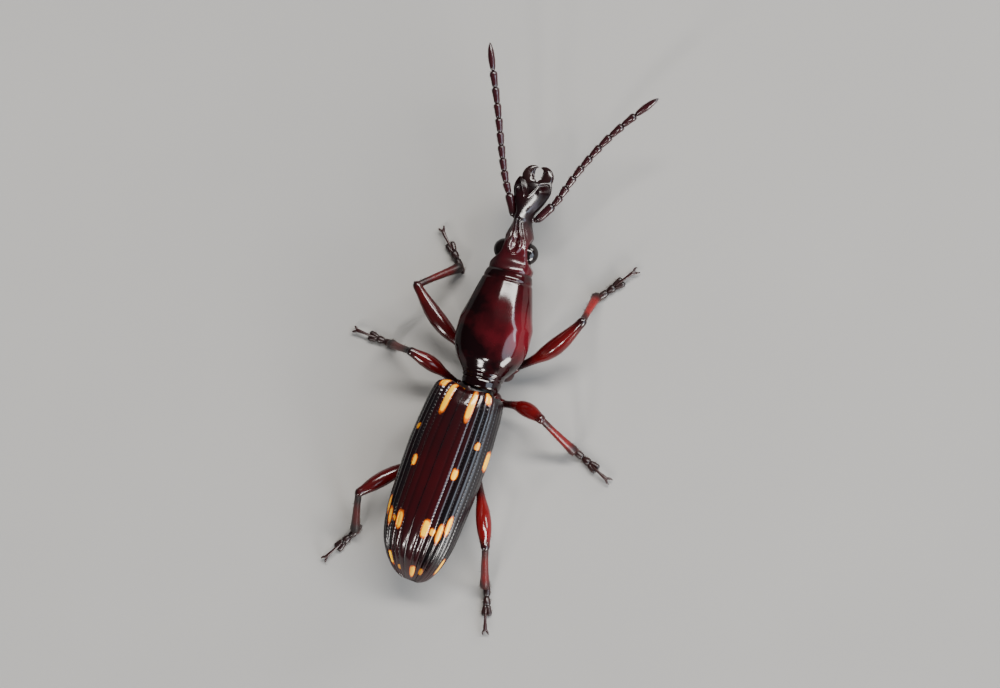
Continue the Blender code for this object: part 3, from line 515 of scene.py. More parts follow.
# Camera: it looks down on the beetle from its right and is rolled, as in the photo.
CAMERA_TILT = math.radians(17)
CAMERA_ROLL = math.radians(20)
CAMERA_DISTANCE = 160.0
CAMERA_AIM = (0.05, 0.1, 3.4)
CAMERA_SLIDE = (1.772, 2.826)
FIELD_WIDTH = 64.22
SENSOR_WIDTH = 36.0

# Lights: shape, two ends as (azimuth from ahead to the right, elevation), width, brightness and colour.
LIGHT_DISTANCE = 1500.0
LIGHT_AIM = (0, 2, 3)
AIR_COLOUR = (0.9, 0.94, 1.0)
AIR_BRIGHTNESS = 0.11
WARM_WHITE = (1.0, 0.97, 0.93)
COOL_WHITE = (0.72, 0.84, 1.0)
LIGHTS = {
    "window": ("RECTANGLE", (-20, 55), (49, 32), 9, 52, WARM_WHITE),
    "window edge": ("RECTANGLE", (50, 36), (84, 16), 7, 13, COOL_WHITE),
    "right glow": ("ELLIPSE", (72, 26), (122, 26), 42, 5, COOL_WHITE),
    "front lamp": ("ELLIPSE", (14, 26), (38, 11), 12, 16, WARM_WHITE),
    "right lamp": ("ELLIPSE", (111, 8), (139, 8), 26, 36, WARM_WHITE),
    "rear lamp": ("ELLIPSE", (-176, 29), (-164, 29), 6, 60, WARM_WHITE),
    "rear high lamp": ("ELLIPSE", (171, 41), (185, 41), 7, 60, WARM_WHITE),
}


# Places of the trunk, the prothorax and the head

def trunk_place():
    left_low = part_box("elytron_l")[0]
    right_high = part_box("elytron_r")[1]
    middle = Vector(((left_low.x + right_high.x) / 2, right_high.y, 0))
    return Matrix.Translation(middle) @ Matrix.Scale(MM, 4)


TRUNK = trunk_place()
THORAX = TRUNK @ Matrix.Translation(THORAX_BASE) @ Matrix.Rotation(THORAX_YAW, 4, "Z")
NECK = Matrix.Translation((0, THORAX_LENGTH, -NECK_DROP)) @ Matrix.Rotation(HEAD_YAW, 4, "Z")
HEAD = THORAX @ NECK


# Curves and sections

def curve_value(table, place):
    """Values at places, on a smooth curve through a table of (place, value) pairs."""
    places, values = np.array(table, float).T
    slopes = np.diff(values) / np.diff(places)
    product = slopes[:-1] * slopes[1:]
    total = np.where(product > 0, slopes[:-1] + slopes[1:], 1.0)
    middle = np.where(product > 0, 2 * product / total, 0.0)
    tangents = np.concatenate(([slopes[0]], middle, [slopes[-1]]))
    place = np.clip(place, places[0], places[-1])
    index = np.clip(np.searchsorted(places, place) - 1, 0, len(slopes) - 1)
    span = np.diff(places)[index]
    t = (place - places[index]) / span
    start = (2 * t**3 - 3 * t**2 + 1) * values[index] + (t**3 - 2 * t**2 + t) * span * tangents[index]
    end = (3 * t**2 - 2 * t**3) * values[index + 1] + (t**3 - t**2) * span * tangents[index + 1]
    return start + end


def ease(value, low, high):
    """0 below low, 1 above high and smooth between them."""
    t = np.clip((value - low) / (high - low), 0, 1)
    return t * t * (3 - 2 * t)


def bump(distance, half_width):
    return np.exp(-((distance / half_width) ** 2))


def between(value, rise, fall):
    """1 between two spans, over which it rises from 0 and falls back to it."""
    return ease(value, *rise) * (1 - ease(value, *fall))


def plateau(distance, half_width):
    """Like a bump, with a flat top."""
    return 1 / (1 + (distance / half_width) ** 4)


def toned(tone, tones, regions):
    """A base tone, with what each region's mask adds to it, from 0 to 1."""
    return np.clip(tone + sum(tones[name] * mask for name, mask in regions.items()), 0, 1)


def rounded_section(angle, half_width, up, down, roundness):
    """Side and height on a rounded section, with angles counted from the top to the right."""
    power = 2 / roundness
    sine, cosine = np.sin(angle), np.cos(angle)
    side = half_width * np.sign(sine) * np.abs(sine) ** power
    height = np.where(cosine >= 0, up, down) * np.sign(cosine) * np.abs(cosine) ** power
    return side, height


def path_distance(path, x, y):
    """Distance in the plane from points to a path of straight pieces."""
    nearest = np.full(np.shape(x), 1e9)
    for (x0, y0), (x1, y1) in zip(path, path[1:]):
        dx, dy = x1 - x0, y1 - y0
        t = np.clip(((x - x0) * dx + (y - y0) * dy) / (dx * dx + dy * dy), 0, 1)
        nearest = np.minimum(nearest, np.hypot(x - x0 - t * dx, y - y0 - t * dy))
    return nearest


def unit(vectors):
    """Vectors of length one, from one vector or from rows of them."""
    return vectors / np.linalg.norm(vectors, axis=-1, keepdims=True)


def axes_matrix(x_axis, y_axis, z_axis, place):
    """Matrix with three axes, at a place."""
    columns = [(*axis, 0) for axis in (x_axis, y_axis, z_axis)]
    return Matrix((*columns, (*place, 1))).transposed()


# Meshes

def deselect_all():
    if bpy.context.object and bpy.context.object.mode != "OBJECT":
        bpy.ops.object.mode_set(mode="OBJECT")
    bpy.ops.object.select_all(action="DESELECT")


def select_only(piece):
    deselect_all()
    piece.select_set(True)
    bpy.context.view_layer.objects.active = piece


@contextlib.contextmanager
def editing():
    """Edit mode, with all of the active piece selected."""
    bpy.ops.object.mode_set(mode="EDIT")
    bpy.ops.mesh.select_all(action="SELECT")
    yield
    bpy.ops.object.mode_set(mode="OBJECT")


def points_of(piece):
    points = np.empty(len(piece.data.vertices) * 3)
    piece.data.vertices.foreach_get("co", points)
    return points.reshape(-1, 3)


def set_points(piece, points):
    piece.data.vertices.foreach_set("co", np.ascontiguousarray(points, float).ravel())
    piece.data.update()


def mark_points(piece, name, values):
    """Stores a number at each point of a piece, for its material to read."""
    mark = piece.data.attributes.get(name) or piece.data.attributes.new(name, "FLOAT", "POINT")
    mark.data.foreach_set("value", np.broadcast_to(values, len(piece.data.vertices)).astype(np.float32))


def rolled_form(name, counts, points_at, **marks):
    """Closed form: a flat grid rolled into rings, joined along its edge and filled at its ends.

    Its points and its marks are functions of the share of a turn and of the length.
    """
    around, along = counts
    deselect_all()
    bpy.ops.mesh.primitive_grid_add(x_subdivisions=around, y_subdivisions=along, size=1)
    piece = bpy.context.object
    piece.name = name
    grid = points_of(piece)
    turn, part = grid[:, 0] + 0.5, grid[:, 1] + 0.5
    set_points(piece, np.stack(points_at(turn, part), 1))
    for mark, values_at in marks.items():
        mark_points(piece, mark, values_at(turn, part))
    with editing():
        bpy.ops.mesh.remove_doubles(threshold=1e-5)
        bpy.ops.mesh.fill_holes(sides=0)
        bpy.ops.mesh.normals_make_consistent(inside=False)
    return piece


def round_form(name, centre, size, counts, shade=0.0):
    """Ball at a place, stretched along the three axes."""
    segments, rings = counts
    deselect_all()
    bpy.ops.mesh.primitive_uv_sphere_add(segments=segments, ring_count=rings, radius=1, location=centre)
    piece = bpy.context.object
    piece.name = name
    piece.scale = size
    bpy.ops.object.transform_apply()
    mark_points(piece, "shade", shade)
    return piece


def tube_form(name, path, radii, counts, shade):
    """Tube along a path function, with radii from a table, both at fractions of its length."""
    first, last = radii[0][0], radii[-1][0]
    step = 0.01

    def fraction_at(part):
        return first + (last - first) * part

    def points_at(turn, part):
        fraction = fraction_at(part)
        direction = unit(path(fraction + step) - path(fraction - step))
        across = unit(np.cross(direction, UP))
        upward = np.cross(across, direction)
        radius = curve_value(radii, fraction)[:, None]
        angle = (turn * FULL_TURN)[:, None]
        return (path(fraction) + across * radius * np.cos(angle) + upward * radius * np.sin(angle)).T

    return rolled_form(name, counts, points_at, shade=lambda turn, part: shade(fraction_at(part)))


def joined(pieces, name):
    deselect_all()
    for piece in pieces:
        piece.select_set(True)
    bpy.context.view_layer.objects.active = pieces[0]
    bpy.ops.object.join()
    whole = bpy.context.object
    whole.name = name
    return whole


def place_piece(piece, place, material, nodes=()):
    """Sets a finished form in its place on the solids, with its material."""
    piece.data.transform(place)
    piece.data.update()
    piece.data.materials.clear()
    piece.data.materials.append(material)
    select_only(piece)
    bpy.ops.object.shade_smooth_by_angle(angle=SHARP_EDGE)
    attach(piece, "root")
    if nodes:
        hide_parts(*nodes)


def direction_matrix(place, direction, spin=0.0):
    """Matrix that turns +Z to a direction, at a place."""
    turn = Vector(direction).to_track_quat("Z", "Y").to_matrix().to_4x4()
    return Matrix.Translation(place) @ turn @ Matrix.Rotation(spin, 4, "Z")


def bristle_field(name, roots, size, shade, lowest=-math.inf):
    """Many bent bristles as one mesh: one is modelled from a cone, and the rest are its copies.

    No point of them goes below the lowest level.
    """
    length, radius = size
    deselect_all()
    bpy.ops.mesh.primitive_cone_add(
        vertices=BRISTLE_AROUND, radius1=radius, radius2=0, depth=1, end_fill_type="NGON",
        location=(0, 0, 0.5),
    )
    model = bpy.context.object
    bpy.ops.object.transform_apply()
    with editing():
        bpy.ops.mesh.bisect(plane_co=(0, 0, 0.5), plane_no=UP)
    base = points_of(model)
    base[:, 0] += BRISTLE_BEND * base[:, 2] ** 2
    faces = [list(polygon.vertices) for polygon in model.data.polygons]
    bpy.data.objects.remove(model)
    points, polygons = [], []
    for place, direction, share, spin in roots:
        matrix = np.array(direction_matrix(place, direction, spin))
        moved = (base * (1.0, 1.0, length * share)) @ matrix[:3, :3].T + matrix[:3, 3]
        moved[:, 2] = np.maximum(moved[:, 2], lowest)
        start = len(points) * len(base)
        points.append(moved)
        polygons += [[index + start for index in face] for face in faces]
    mesh = bpy.data.meshes.new(name)
    mesh.from_pydata(np.concatenate(points).tolist(), [], polygons)
    mesh.update()
    field = bpy.data.objects.new(name, mesh)
    bpy.context.scene.collection.objects.link(field)
    mark_points(field, "shade", shade)
    return field


# Materials

def add_node(tree, kind, inputs=None, **settings):
    node = tree.nodes.new(kind)
    for key, value in settings.items():
        setattr(node, key, value)
    for key, value in (inputs or {}).items():
        if isinstance(value, bpy.types.NodeSocket):
            tree.links.new(value, node.inputs[key])
        else:
            node.inputs[key].default_value = value
    return node


def new_group(name, inputs, outputs):
    """Empty shader group with named sockets, given as (name, kind) pairs."""
    group = bpy.data.node_groups.new(name, "ShaderNodeTree")
    for direction, sockets in (("INPUT", inputs), ("OUTPUT", outputs)):
        for socket_name, kind in sockets:
            group.interface.new_socket(name=socket_name, in_out=direction, socket_type="NodeSocket" + kind)
    entry = group.nodes.new("NodeGroupInput")
    leave = group.nodes.new("NodeGroupOutput")
    return group, entry.outputs, leave.inputs


def noise_node(tree, place, scale, detail):
    inputs = {"Vector": place, "Scale": scale, "Detail": detail}
    return add_node(tree, "ShaderNodeTexNoise", inputs).outputs["Fac"]


def mix_node(tree, amount, first, second):
    """Blend of two colours, which are a colour Mix node's inputs 6 and 7."""
    inputs = {0: amount, 6: first, 7: second}
    return add_node(tree, "ShaderNodeMix", inputs, data_type="RGBA").outputs[2]


def mark_node(tree, name):
    return add_node(tree, "ShaderNodeAttribute", attribute_name=name).outputs["Fac"]


def place_node(tree):
    return tree.nodes.new("ShaderNodeTexCoord").outputs["Object"]


def math_node(tree, operation, first, second=0.0):
    return add_node(tree, "ShaderNodeMath", {0: first, 1: second}, operation=operation).outputs[0]


def range_node(tree, value, low, high, start=0.0, end=1.0):
    node = add_node(
        tree, "ShaderNodeMapRange",
        {"Value": value, "From Min": low, "From Max": high, "To Min": start, "To Max": end},
        interpolation_type="SMOOTHSTEP",
    )
    return node.outputs["Result"]


def make_tone_group():
    """Colour that drifts between a clear and a dark tone, darker where the shade mark is high."""
    group, entry, leave = new_group(
        "cuticle tone",
        (("Place", "Vector"), ("Shade", "Float"), ("Clear", "Color"), ("Dark", "Color"), ("Scale", "Float")),
        (("Colour", "Color"), ("Tone", "Float")),
    )
    drift = noise_node(group, entry["Place"], entry["Scale"], 3.0)
    wave = range_node(group, drift, *NOISE_RANGE, -TONE_DRIFT, TONE_DRIFT)
    mix = math_node(group, "ADD", entry["Shade"], wave)
    held = add_node(group, "ShaderNodeClamp", {"Value": mix}).outputs[0]
    group.links.new(mix_node(group, held, entry["Clear"], entry["Dark"]), leave["Colour"])
    group.links.new(held, leave["Tone"])
    return group


def make_grain_group():
    """Fine relief of the cuticle: soft grain and small round pits."""
    group, entry, leave = new_group(
        "cuticle grain",
        (("Place", "Vector"), ("Grain Scale", "Float"), ("Pit Scale", "Float"), ("Pit Share", "Float")),
        (("Height", "Float"),),
    )
    grain = noise_node(group, entry["Place"], entry["Grain Scale"], 4.0)
    cells = add_node(
        group, "ShaderNodeTexVoronoi", {"Vector": entry["Place"], "Scale": entry["Pit Scale"]}
    ).outputs["Distance"]
    pits = range_node(group, cells, 0.0, GRAIN_PIT_RADIUS)
    sunk = math_node(group, "MULTIPLY", pits, entry["Pit Share"])
    group.links.new(math_node(group, "ADD", grain, sunk), leave["Height"])
    return group


def make_spot_group():
    """Masks of one long rounded spot: its middle and the warm rim around it."""
    group, entry, leave = new_group(
        "rib spot",
        (("Across", "Float"), ("Along", "Float"), ("Rib", "Float"), ("Start", "Float"), ("End", "Float"),
         ("Half Width", "Float"), ("Strength", "Float")),
        (("Middle", "Float"), ("Rim", "Float")),
    )
    centre = math_node(group, "MULTIPLY", math_node(group, "ADD", entry["Start"], entry["End"]), 0.5)
    half = math_node(group, "MULTIPLY", math_node(group, "SUBTRACT", entry["End"], entry["Start"]), 0.5)
    away = math_node(group, "ABSOLUTE", math_node(group, "SUBTRACT", entry["Along"], centre))
    beside = math_node(group, "ABSOLUTE", math_node(group, "SUBTRACT", entry["Across"], entry["Rib"]))
    along = math_node(group, "DIVIDE", away, half)
    across = math_node(group, "DIVIDE", beside, entry["Half Width"])
    powers = [math_node(group, "POWER", *pair) for pair in zip((along, across), SPOT_POWERS)]
    distance = math_node(group, "ADD", *powers)
    for name, edge in SPOT_EDGES.items():
        mask = range_node(group, distance, *edge)
        group.links.new(math_node(group, "MULTIPLY", mask, entry["Strength"]), leave[name])
    return group


def use_group(tree, group, inputs):
    return add_node(tree, "ShaderNodeGroup", inputs, node_tree=group).outputs


def new_material(name):
    material = bpy.data.materials.new(name)
    material.use_nodes = True
    tree = material.node_tree
    return material, tree, tree.nodes["Principled BSDF"]


def make_cuticle(name, clear, dark, rough, grain, specular, masked=False):
    """Cuticle with roughness (clear, dark) and grain (scale, pit scale, pit share, relief in millimetres).

    A masked one reflects less where a piece's matt mark is high.
    """
    material, tree, shader = new_material(name)
    place = place_node(tree)
    tone = use_group(tree, TONE, {
        "Place": place, "Shade": mark_node(tree, "shade"), "Clear": (*clear, 1), "Dark": (*dark, 1),
        "Scale": TONE_SCALE,
    })
    relief = use_group(tree, GRAIN, {
        "Place": place, "Grain Scale": grain[0], "Pit Scale": grain[1], "Pit Share": grain[2],
    })
    raised = add_node(
        tree, "ShaderNodeBump", {"Height": relief["Height"], "Strength": 1.0, "Distance": grain[3] * MM}
    )
    dullness = math_node(tree, "SUBTRACT", tone["Tone"], mark_node(tree, "polish"))
    roughness = add_node(
        tree, "ShaderNodeMapRange", {"Value": dullness, "To Min": rough[0], "To Max": rough[1]}, clamp=False
    )
    tree.links.new(tone["Colour"], shader.inputs["Base Color"])
    tree.links.new(roughness.outputs["Result"], shader.inputs["Roughness"])
    tree.links.new(raised.outputs["Normal"], shader.inputs["Normal"])
    shader.inputs["Specular IOR Level"].default_value = specular
    if masked:
        glossy = math_node(tree, "SUBTRACT", 1.0, mark_node(tree, "matt"))
        level = math_node(tree, "MULTIPLY", glossy, specular)
        tree.links.new(level, shader.inputs["Specular IOR Level"])
    return material


def add_spots(material, spots):
    """Lays the yellow spots over a wing case's colour, along the ribs of its own map."""
    tree = material.node_tree
    shader = tree.nodes["Principled BSDF"]
    base = shader.inputs["Base Color"].links[0].from_socket
    split = add_node(tree, "ShaderNodeSeparateXYZ", {0: tree.nodes.new("ShaderNodeUVMap").outputs["UV"]})
    noise = noise_node(tree, place_node(tree), SPOT_NOISE_SCALE, 2.0)
    wander = range_node(tree, noise, *NOISE_RANGE, -SPOT_WANDER, SPOT_WANDER)
    across = math_node(tree, "MULTIPLY", split.outputs["X"], RIBS / CASE_OUTSIDE_SHARE)
    along = math_node(tree, "MULTIPLY", split.outputs["Y"], CASE_LENGTH)
    along = math_node(tree, "ADD", along, wander)
    whole = {"Middle": 0.0, "Rim": 0.0}
    for rib, half_width, start, end, strength in spots.values():
        masks = use_group(tree, SPOT, {
            "Across": across, "Along": along, "Rib": rib, "Start": start, "End": end,
            "Half Width": half_width, "Strength": strength,
        })
        for name in whole:
            whole[name] = math_node(tree, "MAXIMUM", whole[name], masks[name])
    warm = mix_node(tree, whole["Rim"], base, SPOT_RIM)
    yellow = mix_node(tree, noise, *SPOT_YELLOWS)
    tree.links.new(mix_node(tree, whole["Middle"], warm, yellow), shader.inputs["Base Color"])


TONE = make_tone_group()
GRAIN = make_grain_group()
SPOT = make_spot_group()
FINISH = {key: make_cuticle(*CUTICLES[key], masked=key in MASKED) for key in CUTICLES}
add_spots(FINISH["case_r"], SPOTS)
add_spots(FINISH["case_l"], {**SPOTS, **LEFT_SPOTS})


# Wing cases

def rib_at(turn):
    """Count of ribs from the suture."""
    return np.clip(turn / CASE_OUTSIDE_SHARE, 0, 1) * RIBS


def case_relief(rib, back):
    """Depth of the grooves and punctures below the crests, at a rib count and a distance back."""
    apex = ease(back, *APEX_SPAN)
    groove = np.rint(rib)
    depth = curve_value(GROOVE_DEPTH, groove) * (1 + APEX_SHARE * apex)
    depth += APEX_INNER_DEPTH * apex * (groove < APEX_INNER_RIBS)
    depth *= np.clip(curve_value(CASE_WIDTH, back) / FULL_DEPTH_WIDTH, LEAST_DEPTH_SHARE, 1.0)
    trough = 1 - np.abs(np.sin(math.pi * rib)) ** curve_value(RIB_ROUNDNESS, rib)
    aside = (rib - groove) * RIB_PITCH
    shift = 0.5 * PIT_PITCH * np.mod(groove, 2)
    along = np.mod(back + shift, PIT_PITCH) - PIT_PITCH / 2
    pit = bump(np.hypot(aside, along), PIT_SIZE) * curve_value(PIT_DEPTH, groove)
    return depth * trough + pit * between(back, *PIT_REACH)


def case_points(sign, turn, part):
    """Shell of a wing case, which runs round its outside and back along its inside."""
    back = part * CASE_LENGTH
    inside = np.clip((turn - CASE_OUTSIDE_SHARE) / (1 - CASE_OUTSIDE_SHARE), 0, 1)
    is_inside = turn > CASE_OUTSIDE_SHARE
    rib = np.where(is_inside, (1 - inside) * RIBS, rib_at(turn))
    level = curve_value(WIDEST_LEVEL, back)
    half_width = curve_value(CASE_WIDTH, back) / 2
    up = curve_value(CASE_TOP, back) - level
    down = level - curve_value(BELLY_LEVEL, back)
    wall = np.minimum(CASE_THICKNESS, 0.5 * np.minimum(half_width, up)) * between(inside, *CASE_FOLD)
    front_edge = CASE_RIM_DROP * (1 - ease(back, 0.0, CASE_RIM_LENGTH)) ** 2
    inset = np.where(is_inside, wall, case_relief(rib_at(turn), back)) + front_edge
    angle = rib / RIBS * CASE_EDGE_ANGLE
    side, height = rounded_section(angle, half_width - inset, up - inset, down - inset, CASE_ROUNDNESS)
    side = SUTURE_GAP + side * (half_width - SUTURE_GAP) / half_width
    margin = SHOULDER_LEAD * bump(rib - SHOULDER_RIB, SHOULDER_RIBS)
    margin -= SCUTELLUM_LAG * bump(rib, SCUTELLUM_RIBS)
    forward = margin * (1 - ease(back, 0.0, MARGIN_LENGTH))
    lean = curve_value(SUTURE_LEAN, back) * (1 - side / np.maximum(half_width, side + 0.01))
    return sign * side + lean, forward - back, level + height


def case_shade(turn, part):
    """Dark all over, with a red-brown middle beside the suture and red-brown at the base and the tail, and
    painted shade in the grooves.
    """
    rib, back = rib_at(turn), part * CASE_LENGTH
    middle = (1 - ease(rib, 1.6, 3.4)) * (0.55 + 0.35 * bump(back - 6.5, 3.5))
    tail = 0.7 * bump(back - 12.3, 0.8)
    base = 0.6 * bump(back, 0.6) * (1 - ease(rib, 4.5, 6))
    # Painted shade in the grooves between the ribs.
    groove = 0.35 * (1 - np.abs(np.sin(math.pi * rib)) ** 0.5)
    return np.clip(1 - np.maximum.reduce((middle, tail, base)) + groove, 0, 1)


def case_polish(turn, part):
    """Low on the flank of the right wing case."""
    return -CASE_DULLNESS * ease(rib_at(turn), *CASE_DULL_RIBS)


def case_matt(turn, part):
    """High on the flank of the left wing case."""
    return CASE_MATT * ease(rib_at(turn), *CASE_MATT_RIBS)


def make_wing_cases():
    marks = {"l": {"matt": case_matt}, "r": {"polish": case_polish}}
    for side, sign in SIDES:
        case = rolled_form(
            "wing_case_" + side, MESH["wing case"], lambda turn, part: case_points(sign, turn, part),
            shade=case_shade, **marks[side],
        )
        place_piece(case, TRUNK, FINISH["case_" + side], ["elytron_" + side])


# Trunk below the wing cases

def trunk_points(turn, part):
    """Trunk from the neck to the tail: a low dome under the wing cases and a plated belly."""
    back = -TRUNK_FRONT + (TRUNK_REAR + TRUNK_FRONT) * part
    held = np.clip(back, 0.0, None)
    angle = turn * FULL_TURN
    level = curve_value(WIDEST_LEVEL, held)
    half_width = curve_value(CASE_WIDTH, held) / 2 - CASE_CLEARANCE[0]
    up = curve_value(CASE_TOP, held) - level - CASE_CLEARANCE[1]
    down = level - curve_value(BELLY_LEVEL, held)
    neck = 1 - ease(back, -TRUNK_FRONT, TRUNK_END)
    tail = 1 - (1 - TAIL_SIZE) * ease(back, TRUNK_REAR - TRUNK_END, TRUNK_REAR)
    wide = (1 - (1 - NECK_WIDTH) * neck) * tail
    tall = (1 - (1 - NECK_HEIGHT) * neck) * tail
    side, height = rounded_section(angle, half_width * wide, up * tall, down * tall, TRUNK_ROUNDNESS)
    cut = np.zeros_like(back)
    for border, depth, bow, half in BELLY_BORDERS:
        cut += depth * bump(back - border - bow * (side / 2) ** 2, half)
    for groove, depth, half, start, end in BELLY_GROOVES:
        cut += depth * bump(np.abs(side) - groove, half) * between(back, start, end)
    height = height + cut * ease(-np.cos(angle), 0.0, 0.35)
    return side + NECK_LEAN * THORAX_BASE[0] * neck, -back, level + height


def trunk_shade(turn, part):
    """Darker on top than below, and black at the neck with painted shade, where it shows between the
    prothorax and the wing cases.
    """
    # The last term is painted shade at the neck.
    return np.clip(0.45 + 0.3 * np.cos(turn * FULL_TURN) + 1 - ease(part, 0.0, 0.12), 0, 1)


def make_trunk():
    trunk = rolled_form("trunk", MESH["trunk"], trunk_points, shade=trunk_shade)
    scutellum = round_form(
        "scutellum", SCUTELLUM_PLACE, SCUTELLUM_SIZE, MESH["scutellum"], TONES["scutellum"]
    )
    trunk = joined([trunk, scutellum], "trunk")
    place_piece(trunk, TRUNK, FINISH["belly"], ["metathorax", "abdomen"])


# Prothorax

def thorax_points(turn, part):
    """Long barrel with turned-in rims, rings at its base and a groove behind its front rim."""
    fraction = np.clip((part - THORAX_END) / (1 - 2 * THORAX_END), 0, 1)
    into_base = np.clip((THORAX_END - part) / THORAX_END, 0, 1)
    into_front = np.clip((part - 1 + THORAX_END) / THORAX_END, 0, 1)
    place = fraction * THORAX_LENGTH
    angle = turn * FULL_TURN
    cut = sum(depth * bump(place - ring, half) for ring, depth, half in THORAX_RINGS)
    phase = THORAX_WAVE_PHASE[0] * place + THORAX_WAVE_PHASE[1] * angle
    wave = THORAX_WAVE * np.sin(phase) * bump(place - THORAX_WAVE_PLACE, THORAX_WAVE_REACH)
    wave *= ease(np.sin(angle), 0.3, 0.8)
    half_width = curve_value(THORAX_WIDTH, fraction) / 2 - cut + wave
    up = curve_value(THORAX_UP, fraction) - cut + wave
    down = curve_value(THORAX_DOWN, fraction) - cut
    side, height = rounded_section(angle, half_width, up, down, THORAX_ROUNDNESS)
    size = 1 - BASE_NARROWING * into_base**NARROWING_POWER
    size *= 1 - FRONT_NARROWING * into_front**NARROWING_POWER
    inward = THORAX_INWARD * (into_base**2 - into_front**2)
    edge = THORAX_EDGE * (np.sin(math.pi * into_front) - np.sin(math.pi * into_base))
    hem = THORAX_HEM * (1 - ease(place, 0.0, THORAX_HEM_LENGTH))
    return side * size, place + inward + edge - hem, height * size


def thorax_shade(turn, part):
    """Painted light clears its right flank, painted shade darkens its left; dark on top, nearly black at its
    base and below.
    """
    turned = np.sin(turn * FULL_TURN)
    return toned(THORAX_TONE, THORAX_TONES_AND_PAINTED_LIGHT, {
        # Painted light on the right flank and painted shade down the left side.
        "right": ease(turned, 0.4, 0.95) * bump(part - 0.5, 0.2),
        "left": ease(-turned, -0.3, 0.55),
        "below": ease(-np.cos(turn * FULL_TURN), 0.1, 0.8),
        "middle": bump(part - 0.5, 0.18),
        "base": 1 - ease(part, 0.12, 0.45),
        "front": ease(part, 0.6, 0.85),
    })


def left_matt(turn, part):
    """High down the left side of a form."""
    return LEFT_MATT * ease(-np.sin(turn * FULL_TURN), 0.3, 0.8)


def make_thorax():
    thorax = rolled_form(
        "prothorax", MESH["prothorax"], thorax_points, shade=thorax_shade, matt=left_matt
    )
    place_piece(thorax, THORAX, FINISH["thorax"], ["pronotum"])


# Head

def head_station(turn, part):
    """Angle round the head, place along it, side, and place behind the notch in its front."""
    body = np.clip(part / (1 - HEAD_MOUTH_SHARE), 0, 1)
    place = HEAD_BACK + (HEAD_FRONT - HEAD_BACK) * body
    angle = turn * FULL_TURN
    side, _ = rounded_section(angle, curve_value(HEAD_WIDTH, place) / 2, 1.0, 1.0, HEAD_ROUNDNESS)
    across = np.clip(np.abs(side) / HEAD_NOTCH_WIDTH, 0, 1)
    notch = HEAD_NOTCH * (1 - across**HEAD_NOTCH_POWER) * ease(place, HEAD_NOTCH_START, HEAD_FRONT)
    return angle, place, side, place - notch


def head_relief(side, place):
    """Height of the ridges and hollows on top of the head."""
    aside = np.abs(side)
    height = np.zeros_like(aside)
    for sign, lines in ((1, HEAD_RIDGES), (-1, HEAD_HOLLOWS)):
        for path, size, half in lines.values():
            height += sign * size * bump(path_distance(path, aside, place), half)
    inside = curve_value(FORK_SPREAD, place) - aside
    height -= curve_value(FORK_DEPTH, place) * ease(inside, 0.0, HOLLOW_WALL)
    height += ARM_RIDGE[0] * bump(inside, ARM_RIDGE[1]) * ease(place, *ARM_START)
    beyond = aside - curve_value(FLAT_SPREAD, place)
    height -= FLAT_STEP * ease(beyond, *FLAT_EDGE) * ease(place, *FLAT_START)
    for swelling_side, swelling_place, swelling_height, width in (JAW_SWELLING, SOCKET_RIM):
        height += swelling_height * bump(np.hypot(aside - swelling_side, place - swelling_place), width)
    return height


def head_points(turn, part):
    angle, place, side, forward = head_station(turn, part)
    into_mouth = np.clip((part - 1 + HEAD_MOUTH_SHARE) / HEAD_MOUTH_SHARE, 0, 1)
    up = curve_value(HEAD_UP, forward)
    _, height = rounded_section(angle, 1.0, up, curve_value(HEAD_DOWN, place), HEAD_ROUNDNESS)
    margin = HEAD_MARGIN[1] * plateau(place - HEAD_MARGIN[0], HEAD_MARGIN[2])
    height = height + ease(np.cos(angle), 0.15, 0.6) * (head_relief(side, forward) + margin)
    brow = np.hypot((place - EYE_PLACE) / BROW_SIZE[0], (height - EYE_LEVEL) / BROW_SIZE[1])
    side = side * (1 - BROW_DEPTH * bump(brow - 1.0, BROW_WIDTH) - EYE_SEAT * (1 - ease(brow, 0.75, 1.0)))
    side = side + curve_value(HEAD_LEAN, forward) * np.clip(height / up, 0, 1)
    groove, depth, half = THROAT_GROOVE
    throat = depth * bump(np.abs(side) - groove, half) * between(place, *THROAT_REACH)
    height = height + throat * ease(-np.cos(angle), 0.2, 0.6)
    size = 1 - MOUTH_NARROWING * into_mouth**MOUTH_POWER
    depth = ease(into_mouth, 0.15, 1.0)
    place = (1 - depth) * forward + depth * MOUTH_PLACE
    return side * size, place, height * size - HEAD_SLOPE * place


def head_shade(turn, part):
    """Red behind and between the eyes, black-brown on the snout, with painted light on the right and painted
    shade on the left and in the snout's hollow.
    """
    angle, place, side, forward = head_station(turn, part)
    turned = np.sin(angle)
    snout = ease(place, 2.0, 3.6)
    inside = curve_value(FORK_SPREAD, forward) - np.abs(side)
    return toned(HEAD_TONE, HEAD_TONES_AND_PAINTED_LIGHT, {
        "snout": snout,
        # Painted light on the snout's right and behind the eyes on the right; painted shade on the left and
        # in the hollow.
        "snout right painted light": snout * bump(turned - 0.75, 0.3),
        "below": ease(-np.cos(angle), 0.0, 0.8),
        "left": ease(-turned, 0.1, 0.7),
        "right": ease(turned, 0.2, 0.8) * (1 - ease(place, 1.2, 2.4)),
        "hollow": ease(inside, 0.0, 0.1) * ease(forward, 4.8, 5.2),
    })


def hollow_depth(side, forward):
    """How far a point lies inside the snout's dull hollow, beyond its polished left wall."""
    return curve_value(FORK_SPREAD, forward) - np.abs(side) - LEFT_WALL * (side < 0)


def head_polish(turn, part):
    """High on the flat of the snout, beside its hollow."""
    angle, _, side, forward = head_station(turn, part)
    flat = ease(curve_value(FLAT_SPREAD, forward) - np.abs(side), 0.0, 0.1)
    flat *= between(forward, (3.3, 3.6), (5.55, 5.75)) * ease(np.cos(angle), 0.0, 0.3)
    return FLAT_POLISH * flat * (1 - ease(hollow_depth(side, forward), 0.03, 0.1))


